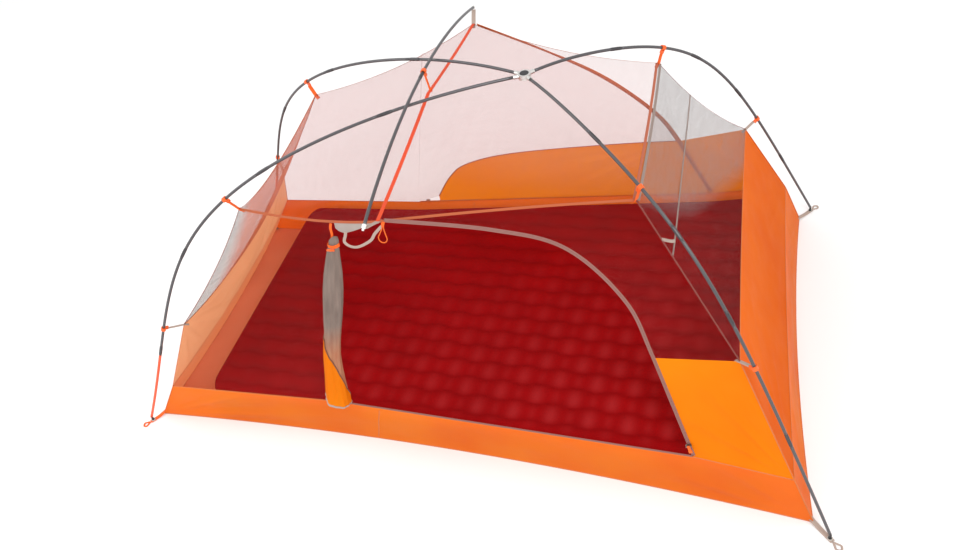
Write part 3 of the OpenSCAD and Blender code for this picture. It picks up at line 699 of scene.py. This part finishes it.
def make_sides():
    outer_foot = even(joined([foot_wall, foot_mid], foot_corner_edge[::-1]), 96)
    outer_foot_top = even(top_foot_edge[:JAMB_STEP], 40)
    jamb = even(np.array([jamb_foot, jamb_top]), 96)
    wall = wall_at(np.linspace(foot_wall[0], jamb_foot[0], 41))
    outer_head = joined(top_head_edge, head_corner_edge)
    corner_inner = np.linspace(arc_points[4], sill_corner, 41)
    corner_outer = np.array([head_mid, head_wall])
    for side, word, tub_join, finishes in ((FRONT, "front", 0.232, ("grey_mesh", "grey_mesh")),
                                           (BACK, "back", 0.185, ("back_net", "pink_mesh"))):
        foot_net = coons(to_side(outer_foot, side), to_side(jamb, side), to_side(wall, side),
                         to_side(outer_foot_top, side), n=80, m=36, sag=(0, -side * 10, 0))
        shaped = wrinkled(foot_net, 4, 0.12, 4.4 + side, 3)
        panel(f"{word}_foot_net", foot_net, shaped, *finishes, f"{word}_foot_mesh")
        strip = coons(to_side(arc_bend, side), to_side(outer_head, side), n=96, m=12)
        shaped = wrinkled(strip, 2, 0.1, 6.1 + side)
        panel(f"{word}_head_net", strip, shaped, "grey_mesh", "grey_mesh", f"{word}_head_mesh")
        corner = coons(to_side(corner_inner, side), to_side(corner_outer, side), n=48, m=48,
                       sag=(0, -side * 6, 0))
        shaped = fanned(wrinkled(corner, 3, 0.12, 9.1 + side, 2), (1, 1), 4, 30, 0.3)
        panel(f"{word}_corner_cloth", corner, shaped, "orange_cloth", "orange_cloth", f"{word}_corner_panel")
        tub = coons(to_side(floor_side, side), to_side(wall_side, side), n=140, m=16)
        shaped = fanned(wrinkled(tub, 4, 0.07, 3.3 + side, 5), (0, 0), 11, 44, 0.4)
        shaped = fanned(shaped, (1, 0), 7, 26, 0.3)
        panel(f"{word}_tub_cloth", tub, shaped, "tub_cloth", "orange_cloth", f"bathtub_{word}",
              rests_on=["floor_sheet"])
        i = int(np.argmin(np.abs(shaped[:, 8, 0] + tub_join)))
        join = ribbon(even(shaped[i, 1:-1], 20), xyz(0, side, 0.1), 4, 1.0, lift=0.5)
        piece(f"{word}_tub_seam", [join], "back_tape", "seam_tape")
    for word, low, high, cloth_name in (("foot", floor_foot, wall_foot, "foot_tub"),
                                        ("head", floor_head, wall_head, "tub_cloth")):
        tub = coons(low, high, n=80, m=16)
        shaped = fanned(fanned(wrinkled(tub, 4, 0.07, 2.6, 5), (0, 0), 5, 24, 0.25), (1, 0), 5, 24, 0.25)
        panel(f"{word}_tub_cloth", tub, shaped, cloth_name, "orange_cloth", f"bathtub_{word}")
    low = joined([jamb_foot, door_panel_top[0]], panel_top)
    high = joined([jamb_top], top_foot_edge[JAMB_STEP:], arc_bend)
    door_net = coons(even(low, 100), even(high, 100), n=100, m=32, sag=(0, -10, 0))
    shaped = wrinkled(door_net, 4, 0.14, 5.5)
    panel("back_door_net", door_net, shaped, "back_net", "pink_mesh", "back_door_mesh")
    low = wall_at(np.linspace(-0.3, 0.773, 81))
    door_solid = coons(low, panel_top, np.array([low[0], panel_top[0]]), corner_inner[::-1], n=100, m=32,
                       sag=(0, -6, 0))
    shaped = fanned(wrinkled(door_solid, 4, 0.12, 1.9, 3), (1, 1), 3, 26, 0.3)
    panel("back_door_cloth", door_solid, shaped, "orange_cloth", "orange_cloth", "back_door_panel")


def make_floor():
    grid = coons(floor_foot, floor_head, flip(floor_side), floor_side, n=60, m=120)
    grid[..., 2] = FLOOR_HEIGHT
    shaped = grid.copy()
    shaped[..., 2] += 0.6 * MM * (1 + ripples(grid, 7, 16, (0, 0, 0.4)))
    panel("floor_cloth", grid, shaped, "floor_cloth", "floor_cloth", "floor_sheet", held="laid")


# ---- the mat
MAT_ROW_TURN = math.radians(-2.77)
MAT_CELL, MAT_ROW = 0.120, 0.070
MAT_GROOVE, MAT_PUFF, MAT_WAVE = 0.0045, 0.003, 0.07
MAT_GAP, MAT_CORNER, MAT_RIM = 0.010, 0.050, 0.032
MAT_ROWS, MAT_SQUARE = 160, 4.0  # how square the rim is: 2 is a plain quarter circle


def mat_quilting(grid):
    """Brick rows of puffs: how deep each point lies in a groove, and how far up a puff, 0 to 1."""
    c, s = math.cos(MAT_ROW_TURN), math.sin(MAT_ROW_TURN)
    p = (grid[..., 0] * c + grid[..., 1] * s) / MAT_CELL
    q = (-grid[..., 0] * s + grid[..., 1] * c) / MAT_ROW
    q = q - MAT_WAVE * np.cos(2 * math.pi * p) * np.cos(math.pi * q)
    row = np.floor(q)
    u = p + 0.5 * (row % 2)
    u -= np.floor(u)
    crown = np.abs(np.sin(math.pi * q))
    main = np.exp(-(((u - 0.5) / 0.17) ** 2))
    small = 0.45 * (np.exp(-((u / 0.1) ** 2)) + np.exp(-(((u - 1) / 0.1) ** 2)))
    # leaning tips each puff towards the front of its row; besides shaping the mat, puff places its painted
    # highlight and groove its painted shade.
    leaning = np.clip(1.25 - (q - row), 0, 1)
    return 1 - crown ** 0.55, (main + small) * crown ** 0.8 * leaning


def mat_outline(x, low, high):
    """Half width of the mat at x, following the long walls, with round corners."""
    at = np.clip(x, low.x, high.x)
    half = np.minimum(wall_at(at)[:, 1], np.interp(at, floor_side[:, 0], floor_side[:, 1])) - MAT_GAP
    to_end = np.clip(np.minimum(at - low.x, high.x - at), 0, MAT_CORNER)
    return half - MAT_CORNER + np.sqrt(np.maximum(MAT_CORNER ** 2 - (MAT_CORNER - to_end) ** 2, 0))


def make_mat():
    low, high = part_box("sleeping_mat")
    rise, middle = (high.z - low.z) / 2, (low.z + high.z) / 2
    edge = np.concatenate([[-0.004], MAT_RIM * (1 - np.cos(np.linspace(0, math.pi / 2, 11)))])

    def steps(start, stop, count):
        """From start to stop in count inner steps, closer together at each rim."""
        inner = np.linspace(start + MAT_RIM, stop - MAT_RIM, count)[1:-1]
        return np.concatenate([start + edge, inner, (stop - edge)[::-1]])

    xs = steps(low.x, high.x, 224)
    grid = np.zeros((len(xs), 2 * len(edge) + MAT_ROWS - 2, 3))
    depth = np.zeros(grid.shape[:2])
    for i, (x, half) in enumerate(zip(xs, mat_outline(xs, low, high))):
        y = steps(-half, half, MAT_ROWS)
        grid[i, :, 0], grid[i, :, 1] = x, y
        side, end = half - np.abs(y), min(x - low.x, high.x - x)
        near = np.hypot(np.maximum(MAT_CORNER - side, 0), max(MAT_CORNER - end, 0))
        cornered = (side < MAT_CORNER) & (end < MAT_CORNER)
        inside = np.minimum(side, end)
        depth[i] = np.where(cornered, np.minimum(inside, MAT_CORNER - near), inside)
    share = np.clip(depth / MAT_RIM, 0, 1)
    shell = np.maximum((1 - (1 - share) ** MAT_SQUARE) ** (1 / MAT_SQUARE), 0.03)
    groove, puff = mat_quilting(grid)
    fade = np.clip((depth - 0.008) / 0.04, 0, 1)
    uneven = 0.003 * ripples(grid, 5, 8, (0, 0, 0.3))
    top = rise + fade * (uneven + MAT_PUFF * (puff - 0.5) - MAT_GROOVE * groove)
    upper, lower = grid.copy(), grid.copy()
    upper[..., 2] = middle + shell * top
    lower[..., 2] = middle - shell * (rise - 0.001)
    n, m = grid.shape[:2]
    count = n * m
    faces = grid_faces(n, m) + [f[::-1] for f in grid_faces(n, m, count)]
    rim = ([i * m for i in range(n)] + [(n - 1) * m + j for j in range(1, m)]
           + [i * m + m - 1 for i in range(n - 2, -1, -1)] + list(range(m - 2, 0, -1)))
    faces += [[a, a + count, b + count, b] for a, b in zip(rim, rim[1:] + rim[:1])]
    verts = np.concatenate([upper.reshape(-1, 3), lower.reshape(-1, 3)])
    o = new_piece("air_mat", verts, faces, "mat_cloth", verts[:, :2])
    # Painted light on the mat: a painted highlight on the puffs, stronger towards the front and the head
    # end, and painted shade in the grooves.
    painted_highlight = puff * np.clip((0.5 * grid[..., 0] + 0.25 - grid[..., 1]) / 0.9, 0, 1)
    for name, values in (("groove", groove * fade), ("puff", painted_highlight * fade)):
        attribute = o.data.attributes.new(name, "FLOAT", "POINT")
        values = np.concatenate([values.ravel(), np.zeros(count)])
        attribute.data.foreach_set("value", values.astype(np.float32))
    place(o, "tent", "mat_cloth", "sleeping_mat")


# ---- poles
FOOT_MARKS = (0.0143, 0.176, 0.376, 0.626, 0.865, 1)
HEAD_MARKS = (0.0272, 0.25, 0.53, 0.72, 0.9, 1)


def leg_points(leg, a, b, side, n=24):
    return to_side(bezier(leg, np.linspace(a, b, n + 1)), side)


def ferrule_half(leg, t):
    run = np.linalg.norm(bezier(leg, t + 0.01)[0] - bezier(leg, t - 0.01)[0])
    return FERRULE_LENGTH / 2 / run * 0.02


def make_poles():
    ferrules = []
    for leg, marks, end in ((foot_leg, FOOT_MARKS, "foot"), (head_leg, HEAD_MARKS, "head")):
        halves = [ferrule_half(leg, t) for t in marks]
        for side, word in SIDES:
            sections = []
            for i in range(5):
                start = marks[i] + (halves[i] * 0.9 if i > 0 else 0)
                stop = marks[i + 1] - (halves[i + 1] * 0.9 if i < 4 else 0)
                sections.append(tube(leg_points(leg, start, stop, side), POLE_R))
            name = f"{word}_{end}"
            piece(f"pole_{name}_upper", sections[:2], "pole", "pole", f"leg_{name}_upper")
            lower = piece(f"pole_{name}_lower", sections[2:], "pole", "pole", f"leg_{name}_lower")
            if end == "foot":
                lower.data.materials.append(MATERIALS["pole_red"])
                for face in list(lower.data.polygons)[-len(sections[4][1]):]:
                    face.material_index = 1
            for t, h in list(zip(marks, halves))[1:5]:
                ferrules.append(tube(leg_points(leg, t - h, t + h, side, 8), FERRULE_RADII))
    crown = np.stack([np.full(5, brow_tip[0]), np.linspace(-19, 19, 5) * MM, np.full(5, BROW_HEIGHT)], 1)
    ferrules.append(tube(crown, np.array([4.6, 5.2, 5.2, 5.2, 4.6]) * MM))
    piece("pole_ferrules", ferrules, "ferrule", "ferrule", "ferrules")
    drop = BROW_HEIGHT - brow_tip[2]
    radius = (brow_tip[1] ** 2 + drop ** 2) / (2 * drop)
    angle = np.linspace(math.radians(0.32), math.asin(brow_tip[1] / radius), 60)
    height = BROW_HEIGHT - radius * (1 - np.cos(angle))
    rod = np.stack([np.full(60, brow_tip[0]), radius * np.sin(angle), height], 1)
    for side, word in SIDES:
        piece(f"brow_rod_{word}", [tube(to_side(rod, side), POLE_R)], "pole", "pole", f"brow_pole_{word}")


# ---- seams and tapes
def outward(path, lift):
    """Roughly outward from the middle of the tent, tilted up."""
    flat = np.asarray(path) * xyz(1, 1, 0)
    return unit(unit(flat) * xyz(0.7, 1, 0) + UP * lift)


def make_seams():
    piece("rib_ribbon", [ribbon(even(rib_edge, 90), UP, 11, lift=1.5)], "red_tape", "red_tape", "rib_tape")
    brown, grey, thin = [], [], []
    brown.append(ribbon(even(roof_foot_edge, 60), unit(UP - xyz(0.5, 0, 0)), 8, lift=1))
    right = even(roof_head_edge, 60)
    brown.append(ribbon(right + vec(-5, 0, 1), UP, 8, lift=1))
    edge = ribbon(right + vec(5, 0, -2), unit(UP + xyz(0.8, 0, 0)), 8, lift=1)
    piece("roof_head_binding", [edge], "edge_tape", "seam_tape", "seam_tapes")
    top = even(joined(top_foot_edge, top_head_edge), 120)
    edge = ribbon(flip(top), unit(UP * 0.8 + xyz(0, -1, 0)), 7, lift=1)
    piece("front_top_seam", [edge], "seam_tape", "seam_tape", "seam_tapes")
    brown.append(ribbon(top, unit(UP + xyz(0, 0.6, 0)), 8, lift=1))
    for side in (FRONT, BACK):
        for edge, width in ((head_corner_edge, 5), (foot_corner_edge, 4)):
            path = to_side(even(edge, 40), side)
            grey.append(ribbon(path, outward(path, 0.5), width, lift=1))
        for edge in ([head_mid, head_wall, head_corner], [foot_mid, foot_wall, foot_corner]):
            path = to_side(even(np.array(edge), 40), side)
            thin.append(ribbon(path, outward(path, 0.2), 4, lift=0.6))
        for edge in (floor_side, wall_side):
            level = unit(xyz(0, side, 0.25))
            thin.append(ribbon(to_side(even(edge, 100), side), level, 4, lift=0.4))
    for edge, way in ((wall_foot, -1), (wall_head, 1), (floor_foot, -1), (floor_head, 1),
                      (foot_panel_edge, -1), (head_panel_edge, 1)):
        thin.append(ribbon(even(edge, 60), unit(xyz(way, 0, 0.4)), 4, lift=0.5))
    piece("roof_seams", brown, "brown_tape", "seam_tape", "seam_tapes")
    piece("corner_seams", grey, "corner_tape", "seam_tape", "seam_tapes")
    piece("thin_seams", thin, "back_tape", "seam_tape")
    edge = ribbon(even(panel_top, 80), xyz(0, -1, 0.2), 4, lift=1)
    piece("back_panel_seam", [edge], "brown_tape", "seam_tape")


def wall_normals(side):
    """Normals of the wall at each point of the door's arc."""
    strip = coons(to_side(arc_bend, side), to_side(joined(top_head_edge, head_corner_edge), side), n=96, m=6)
    n = grid_normals(strip)[:, 2]
    n *= np.sign(n[:, 1] * side)[:, None]
    n[:24] = n[24]
    last = np.cross(unit(sill_corner - arc_points[4]), unit(head_mid - arc_points[4]))
    last = to_side(last * np.sign(last[1]), side)
    return unit(np.concatenate([n, np.repeat(last[None], 24, 0)]))


def make_zips():
    for side, word, widths, cloth_name, slot in ((FRONT, "front", (10, 11), "zip_tape", "grey_zip"),
                                                 (BACK, "back", (25, 15), "back_tape", "orange_zip")):
        path, normals = to_side(arc_edge, side), wall_normals(side)
        sill = to_side(wall_at(np.linspace(-0.385, 0.768, 81)) + vec(0, 0, 3), side)
        level = xyz(0, side, 0.1)
        tapes = [ribbon(path, normals, np.linspace(*widths, len(path))), ribbon(sill, level, 7)]
        piece(f"{word}_zip_tape", tapes, cloth_name, slot, f"{word}_zip")
        coil = [tube(line, 1.7 * MM, 8) for line in (path[2:-2] + normals[2:-2] * 0.9 * MM,
                                                     sill + unit(level) * 0.9 * MM)]
        piece(f"{word}_zip_coil", coil, cloth_name, slot, f"{word}_zip")


# ---- straps and fittings
CLIPS = ((foot_leg, 0.4665, foot_shoulder, "orange_tape", 14),
         (head_leg, 0.4023, head_shoulder, "orange_tape", 16),
         (foot_leg, 0.8172, foot_mid, "grey_tape", 10),
         (head_leg, 0.8033, head_mid, "grey_tape", 11))


def strap(a, b, start, width, tail=0.016, drop=(0, 0, -1)):
    """A strap from near a to b, its end sewn flat onto the cloth beyond b."""
    d = unit(b - a)
    first, last = a + d * start, b + unit(d * 0.6 + np.asarray(drop, float)) * tail
    path = spline([first, mix(first, b, 0.5), b, last], 18)
    return ribbon(path, unit(np.cross(np.cross(d, UP), d)), width, 2.2)


def make_straps():
    for material, word in (("orange_tape", "orange_straps"), ("grey_tape", "grey_straps")):
        parts = []
        for leg, t, q, kind, width in CLIPS:
            if kind == material:
                p = bezier(leg, t)[0]
                inward = -unit(q * xyz(1, 1, 0)) * 0.5 - UP * 0.3
                for side in (FRONT, BACK):
                    p_side, q_side = to_side(p, side), to_side(q, side)
                    parts.append(strap(p_side, q_side, 15 * MM, width, drop=to_side(inward, side)))
        if material == "orange_tape":
            hold = np.array([brow_tip[0], 22 * MM, BROW_HEIGHT - 0.12 * MM])
            parts.append(strap(hold, rib_top + vec(0, 22, 0), 15 * MM, 11, tail=0.012, drop=(0, 1, 0)))
        else:
            for side in (FRONT, BACK):
                tip = to_side(brow_tip + vec(0, 2, -9), side)
                parts.append(strap(tip, to_side(brow_point, side), 0.0, 14, drop=(0, -side, -0.4)))
        piece(word, parts, material, "orange_webbing", "webbing")


def ground_loop(centre, direction, near, far, width):
    """A teardrop of tape on the ground, from near to far in front of the pole tip."""
    d = unit(np.array([direction[0], direction[1], 0.0]))
    side = np.array([-d[1], d[0], 0.0])
    keys = [(near, 0.0), (near + 0.35 * (far - near), 0.55), (near + 0.72 * (far - near), 1.0), (far, 0.0),
            (near + 0.72 * (far - near), -1.0), (near + 0.35 * (far - near), -0.55), (near, 0.0)]
    points = [centre + d * a + side * b * width for a, b in keys]
    path = spline(points, 60)
    path[:, 2] = 1.7 * MM
    return ribbon(path, UP, 5.5, 2.2)


def make_corners():
    straps, rings = {"grey_tape": [], "orange_tape": []}, []
    level = xyz(1, 1, 0)
    for leg, corner, stake, word in ((foot_leg, foot_corner, vec(-1165, 568, 0), "foot"),
                                     (head_leg, head_corner, vec(1165, 723, 0), "head")):
        for side, way in SIDES:
            tip, c, far = (to_side(p, side) for p in (leg[4] * level, corner, stake))
            out = unit((far - tip) * level)
            back = unit((tip - c) * level)
            halfway = mix(c, tip, 0.5) * level + vec(0, 0, 2.2)
            path = spline([c - back * 0.02 + vec(0, 0, 9), c + vec(0, 0, 4), halfway,
                           tip + vec(0, 0, 2.0), tip + out * 0.011 + vec(0, 0, 2.0)], 30)
            colour = "orange_tape" if (word, side) == ("foot", FRONT) else "grey_tape"
            straps[colour].append(ribbon(path, UP, 15, 2))
            loop = ground_loop(tip, out, 0.013, np.linalg.norm((far - tip)[:2]) + 0.011, 0.009)
            body = f"stake_loop_{way}_{word}"
            piece(f"{way}_{word}_stake_tape", [loop], colour, "foot_plastic", body, body=body)
            angle = np.linspace(0, 2 * math.pi, 33)
            ring = tip + vec(0, 0, 4.5) + np.stack([np.cos(angle), np.sin(angle), 0 * angle], 1) * 6.4 * MM
            rings.append(tube(ring, 1.7 * MM, 10, cap=False))
    piece("corner_straps", straps["grey_tape"], "grey_tape", "foot_plastic", "corner_feet")
    piece("orange_corner_strap", straps["orange_tape"], "orange_tape", "foot_plastic", "corner_feet")
    piece("corner_grommets", rings, "foot_plastic", "foot_plastic")


# ---- the rolled door
ROLL_RADII = (14, 20, 27, 30, 30, 29, 27, 27, 28, 30, 33, 36, 36)
ROLL_SHIFT = (22, 22, 25, 26, 26, 25, 23, 21, 21, 26, 33, 41, 46)
ROLL_TOP, ROLL_FOOT, ROLL_GAP, ROLL_FLAT = 0.045, 0.965, 2, 0.86
TIE_RING = 0.4 / 12
HEM_ANGLES, HEM_RINGS = (-60, -38, 51, 141, 228), (0.995, 0.995, 0.962, 0.915, 0.90)
FLAP_RINGS = (0.995, 0.97, 0.71, 0.55, 0.50)


def roll_surface(rings, angle, puff=0.0, flare=0.0):
    """Points of the door roll at fractions rings and angles (90 degrees is its front)."""
    steps = np.linspace(0, 1, len(ROLL_RADII))
    radii = np.array(ROLL_RADII) * MM
    line = flip(np.stack([mix(jamb_top, jamb_foot, mix(ROLL_TOP, ROLL_FOOT, t)) for t in steps]))
    line[:, 0] += np.array(ROLL_SHIFT) * MM
    line[:, 1] -= radii + ROLL_GAP * MM
    centre = np.stack([np.interp(rings, steps, line[:, k]) for k in range(3)], -1)
    r = np.interp(rings, steps, radii)
    r = r * (1 - 0.12 * np.exp(-(((rings - TIE_RING) / 0.02) ** 2))) * np.clip(0.35 + rings / 0.016, 0.35, 1)
    folds = (1 + 0.06 * np.sin(3 * angle + 2.4 * rings) + 0.05 * np.sin(5 * angle - 3 * rings + 1)
             + 0.03 * np.sin(11 * angle + 6 * rings))
    r = r * folds * 0.97 + puff + flare * np.clip((rings - 0.7) / 0.3, 0, 1) ** 2
    return centre + np.stack([np.cos(angle) * r, -np.sin(angle) * r * ROLL_FLAT, 0 * r], -1)


def make_door_roll():
    rings = np.concatenate([np.linspace(0, 0.12, 30), np.linspace(0.12, 1, 92)[1:]])
    sides = 64
    angle = np.linspace(-math.pi / 2, 1.5 * math.pi, sides, endpoint=False)
    hem = np.interp(np.degrees(angle), HEM_ANGLES, HEM_RINGS) * 0.99
    down = rings[:, None] * mix(1, hem[None], rings[:, None] ** 2)
    surface = roll_surface(down, angle[None] + 0 * down)
    n = len(rings)
    middle = surface[-1].mean(0)
    tuck = middle[None] + (surface[-1] - middle) * 0.55 + vec(0, 0, 14)
    verts = np.concatenate([surface.reshape(-1, 3), tuck])
    faces = ring_faces(n + 1, sides) + [[n * sides + k for k in range(sides)], list(range(sides))[::-1]]
    run = np.repeat(rings, sides) * 0.72
    uv = np.concatenate([np.stack([run, np.tile(angle * 0.026, n)], 1),
                         np.stack([np.full(sides, 0.74), angle * 0.02], 1)])
    o = new_piece("door_roll_net", verts, faces, "rolled_net", uv)
    place(o, "rolled_door", "rolled_cloth", "front_door_roll")
    degrees = np.linspace(228, -42, 60)
    start, stop = np.interp(degrees, HEM_ANGLES, FLAP_RINGS), np.interp(degrees, HEM_ANGLES, HEM_RINGS)
    down = np.linspace(0, 1, 44)
    t = start[:, None] * (1 - down[None]) + np.maximum(stop, start + 0.02)[:, None] * down[None]
    grid = roll_surface(np.minimum(t, 1), np.radians(degrees)[:, None] + 0 * t, 1.6 * MM, 5 * MM)
    panel("door_roll_cloth", grid, grid, "orange_cloth", "rolled_cloth", body="rolled_door", held="folded",
          rests_on=["door_roll_net"])
    out = unit(grid[:, -1] - grid[:, -1].mean(0))
    hem = ribbon(even(grid[:, -1], 60), out[np.linspace(0, 59, 61).astype(int)], 10, 1.8)
    piece("door_roll_hem", [hem], "grey_tape", "rolled_cloth", body="rolled_door")
    edge = ribbon(even(grid[:, 0], 60), xyz(0.55, -0.8, 0.2), 3.5, 1.4, lift=0.8)
    piece("door_roll_edge", [edge], "dark_tape", "rolled_cloth", body="rolled_door")


def make_tie():
    ring = roll_surface(np.full(61, TIE_RING), np.linspace(0, 2 * math.pi, 61), 1.6 * MM)
    band = ribbon(ring, unit(ring - ring[:-1].mean(0)), 11, 1.6)
    piece("door_tie_band", [band], "orange_tape", "orange_webbing", "door_tie", body="rolled_door")
    top = vec(-180, -449, 893)
    path = spline([top, top + vec(-4, -4, -14), mix(top, ring[45], 0.6) + vec(-3, -5, 0), ring[38]], 24)
    verts, faces, uvs = ribbon(path, xyz(0.2, -1, 0.1), 7, 1.2)
    o = new_piece("door_tie_strap", verts, faces, "orange_tape", uvs)
    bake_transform(o)


# ---- brow details
PULL_AT, PULL_LEAN = vec(11, -519, 954), math.radians(15)
PULL_CORD = 3 * MM
PULL_KEYS = ((1.7, -1), (2.6, -14), (7.6, -32), (11.6, -47), (7.6, -58.5), (0, -62))


def make_pull_loop():
    c, s = math.cos(PULL_LEAN), math.sin(PULL_LEAN)
    keys = PULL_KEYS + tuple((-x, z) for x, z in PULL_KEYS[-2::-1])
    path = spline([PULL_AT + vec(x * c + z * s, 0, -x * s + z * c) for x, z in keys], 150)
    verts, faces, uvs = tube(path, PULL_CORD / 2, 12)
    o = new_piece("pull_cord", verts, faces, "orange_cord", uvs)
    place(o, "pull_loop", "orange_cord", "pull_loop")
    line = PULL_AT + np.array(vecs((0, 8, 3), (0, 3, 2.4), (0, -1, 0.5), (-1, -2, -5)))
    tape = ribbon(line, xyz(0, -0.3, 1), 9, 2.2)
    tab = piece("pull_tab", [tape], "orange_tape", "orange_cord", body="pull_loop")


def make_brow_details():
    top = flip(top_foot_edge[JAMB_STEP:])
    down = unit(flip(jamb_foot) - flip(jamb_top))
    s = np.linspace(0, 1, len(top))
    reach = np.interp(s, (0, 0.08, 0.22, 0.45, 0.75, 1), (20, 30, 36, 26, 9, 3)) * MM
    low = top + down[None] * reach[:, None] + vec(5, -1, 0)
    tab = coons(top, low, n=26, m=8) + vec(0, -1.5, 0)
    panel("brow_tab", tab, tab, "grey_cloth", "grey_mesh")
    path = spline(vecs((-124, -481, 893), (-129, -482, 880), (-136, -485, 860), (-116, -494, 853),
                       (-84, -506, 865), (-38, -518, 899), (-18, -520, 925), (8, -519, 951)), 60)
    piece("stow_loop", [ribbon(path, xyz(0.3, -1, 0.3), 8, 1.2)], "grey_tape", "grey_zip")


def make_panel_details(head_net):
    u = np.linspace(0, 1, head_net.shape[0])
    share = 0.66 - 0.36 * u * (1 - u)
    line = np.concatenate([along(row, t) for row, t in zip(head_net, share)]) + vec(0, 0, 1)
    seam = ribbon(even(line, 90), xyz(0.7, 0, 0.7), 5, 1.0, lift=0.6)
    piece("head_net_seam", [seam], "edge_tape", "grey_mesh")
    loop = spline(vecs((680, -360, 787), (690, -338, 764), (700, -312, 738), (706, -292, 722)), 24)
    strip = ribbon(loop, xyz(1, -0.2, 0.6), 9, 1.4, lift=1.5)
    piece("head_net_loop", [strip], "grey_tape", "grey_mesh")


# ---- kept CAD nodes
def finish_nodes():
    """Gives the kept CAD nodes their materials."""
    kept = {"hub": "hub_metal", "hub_cap": "black_plastic", "leg_tips": "black_plastic",
            "brow_tips": "white_plastic"}
    kept.update(dict.fromkeys(("clips_shoulder", "clips_mid", "clip_brow", "tie_toggle"), "orange_plastic"))
    for word in ("front", "back"):
        for kind in ("sill", "arc"):
            kept[f"{word}_{kind}_slider"] = "slider_metal"
            kept[f"{word}_{kind}_pull"] = "orange_cord"
    for name, material in kept.items():
        materials = NODES[name].data.materials
        materials.clear()
        materials.append(MATERIALS[material])


# ---- stage
def area_light(name, at, aim, size, power):
    data = bpy.data.lights.new(name, "AREA")
    data.shape, data.size, data.energy = "DISK", size, power
    o = add_object(name, data)
    o.location = at
    o.rotation_mode = "QUATERNION"
    o.rotation_quaternion = (Vector(aim) - Vector(at)).to_track_quat("-Z", "Y")


def make_stage():
    mesh = bpy.data.meshes.new("studio_floor")
    corners = ((-1, -1), (1, -1), (1, 1), (-1, 1))
    mesh.from_pydata([(x * STAGE_REACH, y * STAGE_REACH, -0.0005) for x, y in corners], [], [(0, 1, 2, 3)])
    s = Shade("studio_floor", (0.93, 0.93, 0.93), 0.9)
    s.colour(s.blend(s.noise(0.8, 2), (0.92, 0.92, 0.92), (0.94, 0.94, 0.94)))
    mesh.materials.append(s.mat)
    add_object("studio_floor", mesh)
    scene = bpy.context.scene
    scene.world = bpy.data.worlds.new("studio")
    scene.world.use_nodes = True
    back = scene.world.node_tree.nodes["Background"]
    back.inputs["Color"].default_value = (1, 1, 1, 1)
    back.inputs["Strength"].default_value = 1.0
    area_light("key", (2.4, -3.4, 4.2), (-0.6, 0, 0.2), 2.6, 120)
    area_light("fill", (-3.4, -1.0, 3.2), (-0.3, 0, 0.3), 3.0, 40)
    scene.view_settings.view_transform = "Standard"


make_panel_details(make_ends())
make_sides()
make_floor()
make_mat()
make_poles()
make_seams()
make_zips()
make_straps()
make_corners()
make_door_roll()
make_tie()
make_pull_loop()
make_brow_details()
finish_nodes()
make_stage()
